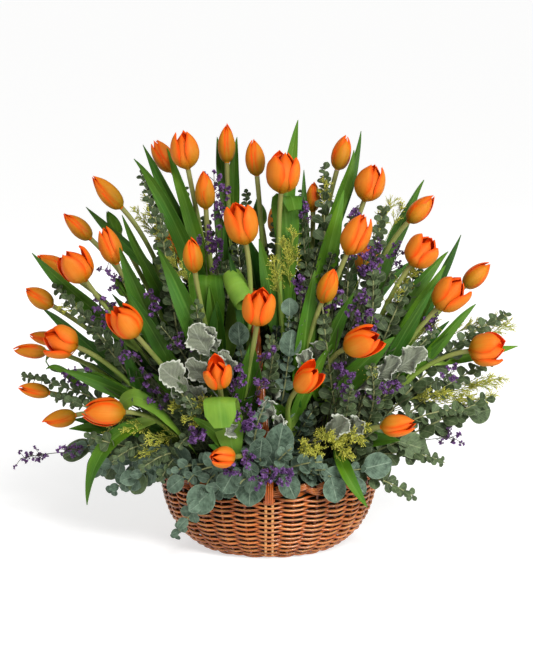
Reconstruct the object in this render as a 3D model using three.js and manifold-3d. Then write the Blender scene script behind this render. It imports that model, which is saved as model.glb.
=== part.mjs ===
// A woven willow basket filled with orange tulips, eucalyptus, statice, solidago and dusty miller.
// Millimetres, +Z up, the viewer stands on the -Y side. The origin is the middle of the basket's base,
// on the surface that the basket stands on.
import * as THREE from 'three';
import { mergeVertices } from 'three/addons/utils/BufferGeometryUtils.js';
import Module from 'manifold-3d';

const wasm = await Module();
wasm.setup();

// ---------------------------------------------------------------- driving dimensions

// Basket: an oval bowl of woven willow. Half widths are along X; every ring is OVAL times as deep along Y.
const OVAL = 0.8;
const WALL_PROFILE = [[0, 97], [10, 113], [25, 129], [45, 141], [65, 148.5], [82, 152], [98, 153.5]];
const WALL_HEIGHT = 98;
const WALL_THICKNESS = 9;
const WEAVE_RELIEF = 1.3;
const WEAVE_ROWS = 8;
const STAKES = 20;
const BASE_HALF_WIDTH = 87;
const BASE_THICKNESS = 7;
const INSIDE_HEIGHTS = [0, 45, WALL_HEIGHT];
const BORDER_HEIGHT = 22;
const BORDER_DEPTH = 17;
const BORDER_WAVES = 21;
const GAP = 0.4;

// Handle: a wrapped hoop that crosses the short axis and leans a little to the left at its top.
const HANDLE_RISE = 228;
const HANDLE_RADIUS = 6.2;
const HANDLE_LEAN = -22;
const CANE_WIDTH = 3.8;
const CANES_AT_EACH_END = 3;

// Inside: a thin waterproof tray, and the wet foam that every stem stands in.
const TRAY_THICKNESS = 2;
const TRAY_TOP = 92;
const FOAM_TOP = 104;
const HOLE_DEPTH = 52;

// Stems and blades.
const STEM_RADIUS = 3.8;
const STEM_SIDES = 4;
const STEM_STEPS = 4;
const STUB_TOP = FOAM_TOP + 9;
const STUB_SIDES = 6;
const TWIG_STEPS = 3;
const BLADE_THICKNESS = 1.5;
const CLEARANCE = 0.45;
const SMOOTHING = 0.08;

// ---------------------------------------------------------------- places in the front view

// Blooms and leaves are placed where they are seen from the front: [across, down, back]. Across and down
// are pixels of a frame 533 wide and 664 high, back is how many millimetres the spot lies behind the
// round front of the bouquet. The eye looks along +Y, slightly downwards.
const EYE_DISTANCE = 2400;
const EYE_ASIDE = -3.5;
const EYE_AIM_HEIGHT = 300;
const EYE_TILT = THREE.MathUtils.degToRad(12);
const EYE_PIXELS = 1739;
const VIEW_MIDDLE = [266.5, 332];

// The round front of the bouquet, in the same pixels; its depth is in millimetres.
const FRONT_MIDDLE = [267, 440];
const FRONT_REACH = [250, 320];
const FRONT_DEPTH = 140;

// Depth of the bouquet's round front at a place in the view.
function frontDepth(across, down) {
  const u = (across - FRONT_MIDDLE[0]) / FRONT_REACH[0];
  const v = Math.max(0, FRONT_MIDDLE[1] - down) / FRONT_REACH[1];
  return -FRONT_DEPTH * (1 - Math.min(1, u * u + v * v));
}

// The point in space that is seen at a place in the view, at the given depth along Y.
function seenAt(across, down, y) {
  const slope = (VIEW_MIDDLE[1] - down) / EYE_PIXELS;
  const cos = Math.cos(EYE_TILT);
  const sin = Math.sin(EYE_TILT);
  const above = (slope * (EYE_DISTANCE + y * cos) - y * sin) / (cos + slope * sin);
  const away = EYE_DISTANCE + y * cos - above * sin;
  const aside = EYE_ASIDE + ((across - VIEW_MIDDLE[0]) / EYE_PIXELS) * away;
  return new THREE.Vector3(aside, y, EYE_AIM_HEIGHT + above);
}

function spot([across, down, back = 0]) {
  return seenAt(across, down, frontDepth(across, down) + back);
}

// ---------------------------------------------------------------- the bouquet's plan

// Where each bunch or branch goes into the foam: its middle on the foam's top and its radius there.
const STUBS = {
  left_low: { at: [-92, -20], radius: 11 },
  left_high: { at: [-62, 22], radius: 13 },
  mid_left: { at: [-34, -34], radius: 13 },
  mid_right: { at: [34, -34], radius: 13 },
  right: { at: [76, 4], radius: 12 },
  back: { at: [6, 58], radius: 11 },
  eucalyptus_left: { at: [-98, 22], radius: 6 },
  eucalyptus_right: { at: [104, -26], radius: 6 },
  eucalyptus_back: { at: [-40, 68], radius: 6 },
  silver: { at: [0, -78], radius: 7 },
  statice_left: { at: [-66, -56], radius: 6 },
  statice_right: { at: [68, -52], radius: 6 },
  solidago: { at: [48, 52], radius: 6 },
  dusty: { at: [0, 6], radius: 6 },
};

// Each tulip: its name, its bunch, base and tip of its head in the view, how far back it stands, how far
// its tip leans back (negative leans to the viewer), the head's width and its form.
const TULIPS = [
  ['tulip_01', 'mid_left', [188, 169], [181, 130], 45, 0, 38, 'half'],
  ['tulip_02', 'back', [227, 163], [226, 123], 80, 8, 24, 'bud'],
  ['tulip_03', 'back', [257, 176], [253, 137], 70, 5, 27, 'bud'],
  ['tulip_04', 'mid_right', [281, 193], [285, 151], 35, 0, 47, 'open'],
  ['tulip_05', 'mid_right', [337, 170], [347, 135], 80, 5, 27, 'bud'],
  ['tulip_06', 'mid_right', [364, 201], [376, 165], 60, 0, 40, 'half'],
  ['tulip_07', 'right', [408, 222], [435, 195], 70, 0, 27, 'bud'],
  ['tulip_08', 'right', [411, 265], [432, 238], 20, -5, 45, 'open'],
  ['tulip_09', 'right', [464, 287], [490, 263], 60, 5, 27, 'bud'],
  ['tulip_10', 'right', [437, 308], [463, 280], 0, -10, 45, 'open'],
  ['tulip_11', 'right', [469, 351], [505, 347], 0, -10, 48, 'open'],
  ['tulip_12', 'right', [381, 427], [416, 423], -10, -15, 30, 'half'],
  ['tulip_13', 'right', [345, 349], [381, 335], 0, -25, 42, 'open'],
  ['tulip_14', 'mid_right', [297, 390], [318, 368], 0, -25, 33, 'open'],
  ['tulip_15', 'mid_right', [322, 302], [335, 269], 10, -10, 27, 'bud'],
  ['tulip_16', 'mid_right', [347, 254], [366, 215], 20, -5, 37, 'half'],
  ['tulip_17', 'mid_right', [313, 212], [313, 181], 105, 15, 20, 'bud'],
  ['tulip_18', 'mid_left', [257, 325], [260, 288], 0, -15, 44, 'open'],
  ['tulip_19', 'mid_left', [220, 387], [215, 360], -5, -25, 36, 'open'],
  ['tulip_20', 'mid_left', [233, 457], [211, 457], -10, -30, 28, 'half'],
  ['tulip_21', 'mid_left', [195, 272], [190, 237], 15, -8, 26, 'bud'],
  ['tulip_22', 'mid_left', [206, 209], [204, 170], 50, 0, 27, 'bud'],
  ['tulip_23', 'mid_left', [246, 244], [236, 201], 10, -8, 45, 'open'],
  ['tulip_24', 'left_high', [122, 208], [92, 176], 50, 0, 27, 'bud'],
  ['tulip_25', 'left_high', [91, 239], [64, 213], 90, 5, 25, 'bud'],
  ['tulip_26', 'left_high', [117, 264], [102, 227], 45, 0, 30, 'half'],
  ['tulip_27', 'left_high', [120, 236], [107, 211], 100, 0, 18, 'green'],
  ['tulip_28', 'left_high', [86, 281], [65, 251], 15, -8, 47, 'open'],
  ['tulip_29', 'left_high', [53, 306], [25, 289], 40, 0, 27, 'bud'],
  ['tulip_30', 'left_high', [137, 336], [113, 307], 0, -10, 45, 'open'],
  ['tulip_31', 'left_low', [77, 347], [44, 335], 0, -10, 46, 'open'],
  ['tulip_32', 'left_low', [47, 352], [12, 350], 50, 0, 21, 'bud'],
  ['tulip_33', 'left_low', [60, 341], [29, 335], 90, 10, 20, 'bud'],
  ['tulip_34', 'left_low', [50, 393], [18, 387], 35, 0, 21, 'bud'],
  ['tulip_35', 'left_low', [76, 415], [42, 423], 20, -10, 25, 'bud'],
  ['tulip_36', 'left_low', [125, 412], [81, 412], -5, -10, 38, 'half'],
  ['tulip_37', 'left_high', [127, 296], [115, 277], 75, 0, 18, 'green'],
  ['tulip_38', 'back', [262, 226], [256, 198], 125, 15, 20, 'green'],
  ['tulip_39', 'mid_left', [173, 172], [154, 140], 85, 10, 28, 'half'],
  ['tulip_40', 'left_high', [70, 275], [37, 254], 75, 5, 26, 'bud'],
  ['tulip_41', 'back', [180, 262], [160, 232], 215, 25, 36, 'half'],
  ['tulip_42', 'back', [278, 236], [284, 203], 225, 35, 40, 'open'],
  ['tulip_43', 'back', [358, 270], [380, 242], 205, 25, 30, 'half'],
].map(([name, bunch, base, tip, back, lean, width, form]) => (
  { name, bunch, base, tip, back, lean, width, form }));

// Each tulip leaf grows from a stem, on at a fraction of that stem's length, passes via and ends at tip.
const LEAVES = [
  { on: 'tulip_01', at: 0.6, via: [166, 188, 60], tip: [143, 145, 75], width: 22 },
  { on: 'tulip_22', at: 0.5, via: [172, 197, 40], tip: [134, 159, 50], width: 27 },
  { on: 'tulip_22', at: 0.62, via: [184, 188, 45], tip: [167, 148, 60], width: 22 },
  { on: 'tulip_24', at: 0.7, via: [103, 224, 75], tip: [86, 207, 80], width: 18 },
  { on: 'tulip_24', at: 0.5, via: [134, 244, 40], tip: [122, 215, 45], width: 20 },
  { on: 'tulip_28', at: 0.62, via: [64, 286, 30], tip: [32, 253, 45], width: 27 },
  { on: 'tulip_26', at: 0.42, via: [136, 282, 15], tip: [122, 248, 20], width: 38 },
  { on: 'tulip_21', at: 0.3, via: [186, 296, 0], tip: [157, 247, 15], width: 34 },
  { on: 'tulip_21', at: 0.4, via: [214, 305, 20], tip: [203, 272, 25], width: 38 },
  { on: 'tulip_23', at: 0.35, via: [230, 262, -5], tip: [257, 288, -20], width: 32 },
  { on: 'tulip_31', at: 0.6, via: [70, 326, 30], tip: [42, 308, 45], width: 20 },
  { on: 'tulip_34', at: 0.7, via: [62, 352, 10], tip: [46, 366, 5], width: 17 },
  { on: 'tulip_30', at: 0.45, via: [150, 322, 25], tip: [127, 291, 30], width: 26 },
  { on: 'tulip_04', at: 0.72, via: [290, 155, 75], tip: [298, 120, 85], width: 22 },
  { on: 'tulip_05', at: 0.68, via: [357, 168, 90], tip: [361, 131, 95], width: 19 },
  { on: 'tulip_05', at: 0.74, via: [350, 182, 55], tip: [354, 150, 55], width: 20 },
  { on: 'tulip_05', at: 0.42, via: [331, 232, 30], tip: [344, 190, 40], width: 30 },
  { on: 'tulip_07', at: 0.6, via: [405, 208, 85], tip: [424, 180, 95], width: 27 },
  { on: 'tulip_09', at: 0.6, via: [447, 262, 55], tip: [461, 235, 60], width: 22 },
  { on: 'tulip_08', at: 0.6, via: [428, 266, 45], tip: [446, 252, 50], width: 24 },
  { on: 'tulip_10', at: 0.4, via: [418, 298, 10], tip: [443, 266, 15], width: 34 },
  { on: 'tulip_10', at: 0.5, via: [413, 313, -15], tip: [434, 288, -20], width: 24 },
  { on: 'tulip_11', at: 0.62, via: [457, 318, 25], tip: [476, 304, 30], width: 20 },
  { on: 'tulip_13', at: 0.5, via: [370, 358, -15], tip: [398, 337, -15], width: 34 },
  { on: 'tulip_17', at: 0.55, via: [303, 222, 60], tip: [304, 176, 75], width: 15 },
  { on: 'tulip_11', at: 0.8, via: [497, 350, 45], tip: [518, 346, 50], width: 17 },
  { on: 'tulip_15', at: 0.3, via: [304, 322, 10], tip: [315, 270, 25], width: 28 },
  { on: 'tulip_14', at: 0.5, via: [317, 362, 15], tip: [332, 344, 20], width: 19 },
  { on: 'tulip_36', at: 0.72, via: [92, 432, -20], tip: [87, 505, -10], width: 24 },
  { on: 'tulip_36', at: 0.62, via: [140, 388, -25], tip: [170, 418, -40], width: 26 },
  { on: 'tulip_19', at: 0.4, via: [224, 402, -20], tip: [204, 400, -30], width: 36 },
  { on: 'tulip_20', at: 0.45, via: [212, 430, -10], tip: [188, 417, -5], width: 24 },
  { on: 'tulip_18', at: 0.45, via: [251, 368, 0], tip: [246, 345, 5], width: 26 },
  { on: 'tulip_12', at: 0.3, via: [342, 466, -45], tip: [370, 508, -20], width: 22 },
  { on: 'tulip_02', at: 0.78, via: [221, 168, 85], tip: [217, 140, 95], width: 17 },
  { on: 'tulip_02', at: 0.72, via: [233, 172, 80], tip: [237, 140, 85], width: 19 },
  { on: 'tulip_41', at: 0.5, via: [165, 285, 225], tip: [130, 250, 235], width: 30 },
  { on: 'tulip_42', at: 0.5, via: [262, 270, 235], tip: [240, 225, 250], width: 32 },
  { on: 'tulip_42', at: 0.35, via: [300, 300, 245], tip: [315, 250, 255], width: 32 },
  { on: 'tulip_43', at: 0.5, via: [375, 290, 225], tip: [410, 262, 230], width: 30 },
];

// Each sprig of eucalyptus: its branch, the way it bends, where it ends, the length of its leaves, how
// many pairs it has, and the fraction of its length that is bare.
const SPRIGS = [
  { branch: 'eucalyptus_left', via: [176, 262, 60], tip: [142, 172, 70], leaf: 28, pairs: 4, bare: 0.42 },
  { branch: 'eucalyptus_left', via: [124, 352, 5], tip: [57, 288, 30], leaf: 28, pairs: 4, bare: 0.27 },
  { branch: 'eucalyptus_left', via: [116, 393, 10], tip: [24, 377, 20], leaf: 26, pairs: 4, bare: 0.22 },
  { branch: 'eucalyptus_left', via: [150, 448, 0], tip: [98, 437, -5], leaf: 28, pairs: 2, bare: 0.32 },
  { branch: 'eucalyptus_left', via: [190, 410, 0], tip: [167, 372, 0], leaf: 30, pairs: 3, bare: 0.37 },
  { branch: 'eucalyptus_right', via: [320, 262, 70], tip: [325, 168, 80], leaf: 28, pairs: 4, bare: 0.42 },
  { branch: 'eucalyptus_right', via: [438, 347, 15], tip: [508, 314, 20], leaf: 28, pairs: 3, bare: 0.37 },
  { branch: 'eucalyptus_right', via: [425, 424, 0], tip: [486, 400, 10], leaf: 35, pairs: 2, bare: 0.37 },
  { branch: 'eucalyptus_right', via: [368, 290, 40], tip: [384, 208, 50], leaf: 30, pairs: 3, bare: 0.42 },
  { branch: 'eucalyptus_right', via: [372, 345, 20], tip: [408, 284, 25], leaf: 30, pairs: 3, bare: 0.32 },
  { branch: 'eucalyptus_right', via: [398, 440, 0], tip: [446, 463, 0], leaf: 25, pairs: 2, bare: 0.32 },
  { branch: 'eucalyptus_right', via: [366, 470, -15], tip: [416, 498, -10], leaf: 25, pairs: 2, bare: 0.27 },
  { branch: 'eucalyptus_back', via: [190, 345, 235], tip: [110, 315, 220], leaf: 35, pairs: 2, bare: 0.22 },
  { branch: 'eucalyptus_back', via: [215, 290, 235], tip: [205, 215, 200], leaf: 35, pairs: 3, bare: 0.22 },
  { branch: 'eucalyptus_back', via: [300, 330, 260], tip: [335, 255, 235], leaf: 35, pairs: 3, bare: 0.22 },
  { branch: 'eucalyptus_back', via: [330, 390, 265], tip: [440, 350, 200], leaf: 35, pairs: 2, bare: 0.22 },
  { branch: 'eucalyptus_back', via: [250, 400, 275], tip: [262, 330, 300], leaf: 35, pairs: 3, bare: 0.22 },
];

// Sprigs of the round-leaved eucalyptus, with the same entries.
const ROUND_SPRIGS = [
  { branch: 'silver', via: [216, 462, -5], tip: [176, 534, 25], leaf: 30, pairs: 4, bare: 0.36 },
];

// Large round leaves near the rim, each on a bent stalk: the way it bends, its tip, its length and width.
const ROUND_LEAVES = [
  { branch: 'silver', via: [238, 450, -8], tip: [249, 504, -4], long: 54, wide: 40 },
  { branch: 'silver', via: [230, 446, -2], tip: [222, 489, 0], long: 32, wide: 31 },
  { branch: 'silver', via: [216, 448, 5], tip: [190, 502, 8], long: 46, wide: 38 },
  { branch: 'silver', via: [292, 446, -5], tip: [302, 499, 0], long: 38, wide: 27 },
  { branch: 'silver', via: [312, 444, 0], tip: [328, 503, 4], long: 38, wide: 30 },
  { branch: 'silver', via: [326, 448, 0], tip: [345, 484, 4], long: 36, wide: 28 },
  { branch: 'silver', via: [276, 462, -12], tip: [283, 425, -12], long: 54, wide: 36 },
  { branch: 'silver', via: [255, 470, -14], tip: [262, 440, -18], long: 36, wide: 28 },
  { branch: 'silver', via: [190, 452, 22], tip: [167, 488, 24], long: 34, wide: 22 },
  { branch: 'eucalyptus_right', via: [372, 432, 10], tip: [388, 476, 12], long: 50, wide: 38 },
  { branch: 'eucalyptus_right', via: [394, 424, 10], tip: [424, 450, 12], long: 46, wide: 34 },
  { branch: 'eucalyptus_right', via: [432, 420, 15], tip: [490, 408, 18], long: 38, wide: 30 },
  { branch: 'eucalyptus_left', via: [168, 430, 35], tip: [142, 494, 45], long: 44, wide: 36 },
  { branch: 'eucalyptus_left', via: [146, 430, 45], tip: [103, 490, 55], long: 44, wide: 34 },
  { branch: 'eucalyptus_left', via: [120, 424, 40], tip: [64, 458, 45], long: 54, wide: 28 },
];

// Heads of statice: middle of each head in the view, and how tall it is.
const STATICE = [
  { branch: 'statice_left', tip: [245, 372, 0], tall: 34 },
  { branch: 'statice_left', tip: [248, 408, -10], tall: 50 },
  { branch: 'statice_left', tip: [238, 458, -20], tall: 36 },
  { branch: 'statice_left', tip: [198, 436, -10], tall: 26 },
  { branch: 'statice_left', tip: [28, 461, 20], tall: 44 },
  { branch: 'statice_left', tip: [101, 306, 40], tall: 34 },
  { branch: 'statice_left', tip: [222, 190, 60], tall: 50 },
  { branch: 'statice_left', tip: [217, 250, 35], tall: 34 },
  { branch: 'statice_right', tip: [357, 206, 60], tall: 28 },
  { branch: 'statice_right', tip: [378, 246, 40], tall: 50 },
  { branch: 'statice_right', tip: [303, 280, 20], tall: 34 },
  { branch: 'statice_right', tip: [360, 300, 10], tall: 44 },
  { branch: 'statice_right', tip: [388, 390, 0], tall: 28 },
  { branch: 'statice_right', tip: [456, 438, 0], tall: 26 },
  { branch: 'statice_right', tip: [272, 474, -25], tall: 26 },
  { branch: 'statice_right', tip: [346, 375, 0], tall: 40 },
];

// Plumes of solidago, with the same entries.
const SOLIDAGO = [
  { branch: 'solidago', tip: [148, 198, 80], tall: 70 },
  { branch: 'solidago', tip: [282, 244, 50], tall: 80 },
  { branch: 'solidago', tip: [392, 203, 75], tall: 40 },
  { branch: 'solidago', tip: [500, 318, 40], tall: 60 },
  { branch: 'solidago', tip: [354, 428, -5], tall: 76 },
  { branch: 'solidago', tip: [490, 384, 25], tall: 76 },
  { branch: 'solidago', tip: [172, 408, 5], tall: 50 },
  { branch: 'solidago', tip: [112, 436, 15], tall: 56 },
];

// Leaves of dusty miller: tip in the view and length.
const DUSTY = [
  { tip: [194, 326, 5], long: 52 },
  { tip: [166, 360, 0], long: 60 },
  { tip: [184, 395, -5], long: 52 },
  { tip: [222, 354, 10], long: 48 },
  { tip: [390, 350, 5], long: 56 },
  { tip: [270, 392, 0], long: 48 },
  { tip: [345, 420, -10], long: 50 },
];

// ---------------------------------------------------------------- solids

// A closed geometry as a solid, with shared vertices merged.
function solid(geometry) {
  geometry.deleteAttribute('normal');
  geometry.deleteAttribute('uv');
  const merged = mergeVertices(geometry, 1e-4);
  const body = new wasm.Manifold(new wasm.Mesh({
    numProp: 3,
    vertProperties: Float32Array.from(merged.attributes.position.array),
    triVerts: Uint32Array.from(merged.index.array),
  }));
  return body.volume() < 0 ? solid(turned(geometry)) : body;
}

// The same faces facing the other way.
function turned(geometry) {
  if (!geometry.index) geometry.setIndex([...Array(geometry.attributes.position.count).keys()]);
  const { index } = geometry;
  for (let i = 0; i < index.count; i += 3) {
    const second = index.getX(i + 1);
    index.setX(i + 1, index.getX(i + 2));
    index.setX(i + 2, second);
  }
  return geometry;
}

// Rings of equal length skinned from the start point to the end point. Either end may be null: then
// that end is closed flat from its ring's first point. With mirrored set, every other strip is split
// along its other diagonal, so that the two faces of a thin blade are split alike and don't cross.
function skin(rings, start, end, mirrored = false) {
  const points = rings.flat();
  const count = rings[0].length;
  const index = [];
  for (let r = 0; r + 1 < rings.length; r++) {
    for (let i = 0; i < count; i++) {
      const j = (i + 1) % count;
      const low = r * count;
      const high = low + count;
      if (mirrored && i % 2) index.push(low + i, low + j, high + i, low + j, high + j, high + i);
      else index.push(low + i, low + j, high + j, low + i, high + j, high + i);
    }
  }
  const last = (rings.length - 1) * count;
  if (start) {
    const apex = points.push(start) - 1;
    for (let i = 0; i < count; i++) index.push(apex, (i + 1) % count, i);
  } else {
    for (let i = 1; i + 1 < count; i++) index.push(0, i + 1, i);
  }
  if (end) {
    const apex = points.push(end) - 1;
    for (let i = 0; i < count; i++) index.push(apex, last + i, last + ((i + 1) % count));
  } else {
    for (let i = 1; i + 1 < count; i++) index.push(last, last + i, last + i + 1);
  }
  return solid(new THREE.BufferGeometry().setFromPoints(points).setIndex(index));
}

// Rings that close on themselves round a hoop.
function skinHoop(rings) {
  const count = rings[0].length;
  const index = [];
  rings.forEach((ring, r) => {
    const low = r * count;
    const high = ((r + 1) % rings.length) * count;
    for (let i = 0; i < count; i++) {
      const j = (i + 1) % count;
      index.push(low + i, low + j, high + j, low + i, high + j, high + i);
    }
  });
  return solid(new THREE.BufferGeometry().setFromPoints(rings.flat()).setIndex(index));
}

// A round rod along a curve.
function rod(curve, radius, sides, steps) {
  const section = new THREE.Shape();
  for (let i = 0; i < sides; i++) {
    const turn = (i / sides) * 2 * Math.PI;
    section[i ? 'lineTo' : 'moveTo'](radius * Math.cos(turn), radius * Math.sin(turn));
  }
  section.closePath();
  return solid(new THREE.ExtrudeGeometry(section, { steps, extrudePath: curve, curveSegments: 1 }));
}

// Two directions square to a given one; the first is as near to hint as can be.
function crossways(direction, hint) {
  const first = hint.clone().addScaledVector(direction, -hint.dot(direction)).normalize();
  return [first, new THREE.Vector3().crossVectors(direction, first)];
}

// All pieces of one node joined, with only the largest body kept: scraps that trimming left are dropped.
function joined(pieces) {
  const bodies = wasm.Manifold.union(pieces).simplify(SMOOTHING).decompose();
  return bodies.reduce((best, body) => (body.volume() > best.volume() ? body : best));
}

// ---------------------------------------------------------------- room between the pieces

// Everything that already stands, each piece a little fatter than it is. A new piece of another owner
// has to stay out of it.
const standing = [];

function stand(fatBody, owner) {
  const { min, max } = fatBody.boundingBox();
  standing.push({ body: fatBody, owner, min, max });
}

function boxesMeet(a, b) {
  return [0, 1, 2].every((i) => a.min[i] < b.max[i] && b.min[i] < a.max[i]);
}

// How much of a piece lies inside what others have taken.
function blocked(body, owner) {
  const box = body.boundingBox();
  let volume = 0;
  for (const other of standing) {
    if (other.owner === owner || !boxesMeet(box, other)) continue;
    const shared = body.intersect(other.body);
    volume += shared.volume();
    shared.delete();
  }
  return volume;
}

// The piece with everything that others have taken cut away.
function trimmed(body, owner) {
  const box = body.boundingBox();
  let left = body;
  for (const other of standing) {
    if (other.owner !== owner && boxesMeet(box, other)) left = left.subtract(other.body);
  }
  return left;
}

// Shifts that are tried in turn to bend a piece clear, the smallest first.
const SHIFT_STEPS = [0, 7, 14, 22, 32, 44];
const SHIFT_WAYS = [
  [0, 1, 0], [0, -1, 0], [1, 0, 0], [-1, 0, 0],
  [0, 0.6, 0.8], [0, -0.6, -0.8], [0.7, 0.7, 0], [-0.7, 0.7, 0],
];
const SHIFTS = SHIFT_STEPS.flatMap((step) => (step ? SHIFT_WAYS : [[0, 0, 0]])
  .map((way) => new THREE.Vector3(...way).multiplyScalar(step)));

// Tries make(shift) until the body it gives stands clear, and keeps the clearest one.
function bendClear(make, owner) {
  let best = null;
  for (const shift of SHIFTS) {
    const piece = make(shift);
    const volume = blocked(piece.body, owner);
    if (!best || volume < best.volume) best = { ...piece, volume, shift };
    if (volume === 0) break;
  }
  return best;
}

// ---------------------------------------------------------------- basket

function ovalPoint(turn, halfWidth, z, oval = OVAL) {
  return new THREE.Vector3(halfWidth * Math.cos(turn), halfWidth * oval * Math.sin(turn), z);
}

function ovalRing(count, halfWidth, z) {
  return Array.from({ length: count }, (_, i) => ovalPoint((i / count) * 2 * Math.PI, halfWidth, z));
}

// Half width at a height, read off a profile of [height, half width].
function widthAt(profile, z) {
  const i = Math.max(1, profile.findIndex(([height]) => height >= z));
  const [z0, w0] = profile[i - 1];
  const [z1, w1] = profile[i];
  return THREE.MathUtils.mapLinear(z, z0, z1, w0, w1);
}

const INSIDE_PROFILE = INSIDE_HEIGHTS.map((z) => [z, widthAt(WALL_PROFILE, z) - WALL_THICKNESS]);

// The wall: a weaver passes in front of one stake and behind the next, and the next row does the
// opposite, so the outside stands out and back like a chequerboard.
function basketWall() {
  const columns = STAKES * 2;
  const outside = Array.from({ length: WEAVE_ROWS + 1 }, (_, row) => {
    const z = (WALL_HEIGHT * row) / WEAVE_ROWS;
    const edge = row === 0 || row === WEAVE_ROWS;
    return Array.from({ length: columns }, (_, i) => {
      const relief = edge ? 0 : WEAVE_RELIEF * ((i + row) % 2 ? 1 : -1);
      const turn = (i / columns) * 2 * Math.PI;
      return ovalPoint(turn, widthAt(WALL_PROFILE, z) - WEAVE_RELIEF + relief, z);
    });
  });
  const inside = INSIDE_PROFILE.toReversed().map(([z, width]) => ovalRing(columns, width, z));
  return skinHoop([...outside, ...inside]);
}

// The woven bottom of the basket, which lies flat on the surface.
function basketBase() {
  const floor = ovalRing(STAKES, BASE_HALF_WIDTH, 0);
  const top = ovalRing(STAKES, BASE_HALF_WIDTH - 0.5, BASE_THICKNESS);
  return skin([floor, top], null, null);
}

const BORDER_HALF_WIDTH = widthAt(WALL_PROFILE, WALL_HEIGHT) - WALL_THICKNESS / 2;

// The border: stakes plaited into a rope that lies on top of the wall.
function basketBorder(grow = 0) {
  const steps = BORDER_WAVES * 2;
  const middle = WALL_HEIGHT + GAP + BORDER_HEIGHT / 2;
  const corners = 5;
  const rings = [];
  for (let i = 0; i < steps; i++) {
    const turn = (i / steps) * 2 * Math.PI;
    const out = new THREE.Vector3(Math.cos(turn), Math.sin(turn) / OVAL, 0).normalize();
    const swell = i % 2 ? 1 : 0.86;
    rings.push(Array.from({ length: corners }, (_, k) => {
      const around = (k / corners) * 2 * Math.PI + (i % 2 ? 0.25 : -0.25);
      const away = (BORDER_DEPTH / 2) * swell * Math.cos(around) + grow * Math.cos(around);
      const up = (BORDER_HEIGHT / 2 - 0.3) * swell * Math.sin(around) + grow * Math.sin(around);
      return ovalPoint(turn, BORDER_HALF_WIDTH, middle + up).addScaledVector(out, away);
    }));
  }
  return skinHoop(rings);
}

const borderTop = WALL_HEIGHT + GAP + BORDER_HEIGHT;
const borderReach = BORDER_HALF_WIDTH * OVAL;

// Middle line of the handle's hoop, from the front end to the back end.
function handlePoint(t) {
  const turn = Math.PI * t;
  const rise = Math.sin(turn);
  return new THREE.Vector3(
    HANDLE_LEAN * rise,
    -borderReach * Math.cos(turn),
    borderTop + HANDLE_RADIUS + HANDLE_RISE * rise,
  );
}

// The hoop: a rod wrapped with canes, so its section has lobes that twist as it rises.
function handleHoop(grow = 0) {
  const steps = 16;
  const corners = 6;
  const across = new THREE.Vector3(1, 0, 0);
  const rings = [];
  for (let i = 0; i <= steps; i++) {
    const t = i / steps;
    const along = handlePoint(Math.min(1, t + 0.01)).sub(handlePoint(Math.max(0, t - 0.01))).normalize();
    const [first, second] = crossways(along, across);
    rings.push(Array.from({ length: corners }, (_, k) => {
      const around = (k / corners) * 2 * Math.PI + t * 5 * Math.PI;
      const radius = HANDLE_RADIUS * (k % 2 ? 0.82 : 1) + grow;
      return handlePoint(t)
        .addScaledVector(first, radius * Math.cos(around))
        .addScaledVector(second, radius * Math.sin(around));
    }));
  }
  return skin(rings, null, null);
}

// Canes that come down side by side from the hoop's foot over the border and into the weave: one
// ridged band at each end.
function handleCanes(grow = 0) {
  const half = (CANES_AT_EACH_END * CANE_WIDTH) / 2;
  const over = borderReach + BORDER_DEPTH / 2 + CANE_WIDTH / 2 + 0.6;
  return [-1, 1].map((side) => {
    const path = [
      [borderReach - 4, borderTop + 8, 0, 1],
      [borderReach + 5, borderTop + 4.5, 0.6, 0.8],
      [over, borderTop - 5, 1, 0],
      [over, WALL_HEIGHT + 3, 1, 0],
    ];
    const end = ([y, z], lift) => new THREE.Vector3(0, side * y, z + lift);
    const rings = path.map(([y, z, outY, outZ]) => {
      const out = new THREE.Vector3(0, side * outY, outZ).normalize();
      const middle = new THREE.Vector3(0, side * y, z);
      const ridge = (i) => (i % 2 ? CANE_WIDTH * 0.5 : CANE_WIDTH * 0.15) + grow;
      const front = Array.from({ length: CANES_AT_EACH_END * 2 + 1 }, (_, i) => middle.clone()
        .add(new THREE.Vector3(-half - grow + ((half + grow) * i) / CANES_AT_EACH_END, 0, 0))
        .addScaledVector(out, ridge(i)));
      const back = [half + grow, -half - grow].map((x) => middle.clone()
        .add(new THREE.Vector3(x, 0, 0)).addScaledVector(out, -CANE_WIDTH / 2 - grow));
      return [...front, ...back];
    });
    return skin(rings, end(path[0], 0.01), end(path[path.length - 1], -1));
  });
}

// Rings that follow the inside of the wall, further in by inset, from the floor up to TRAY_TOP.
function insideRings(count, inset, floor) {
  const heights = [floor, INSIDE_HEIGHTS[1], TRAY_TOP];
  return heights.map((z) => ovalRing(count, widthAt(INSIDE_PROFILE, z) - inset, z));
}

const TRAY_SIDES = 14;
const TRAY_INSET = 2;
const TRAY_FLOOR = BASE_THICKNESS + 1;

function waterTray() {
  const outside = insideRings(TRAY_SIDES, TRAY_INSET, TRAY_FLOOR);
  const inside = insideRings(TRAY_SIDES, TRAY_INSET + TRAY_THICKNESS, TRAY_FLOOR + TRAY_THICKNESS);
  return skin([...outside, ...inside.toReversed()], null, null);
}

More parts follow.
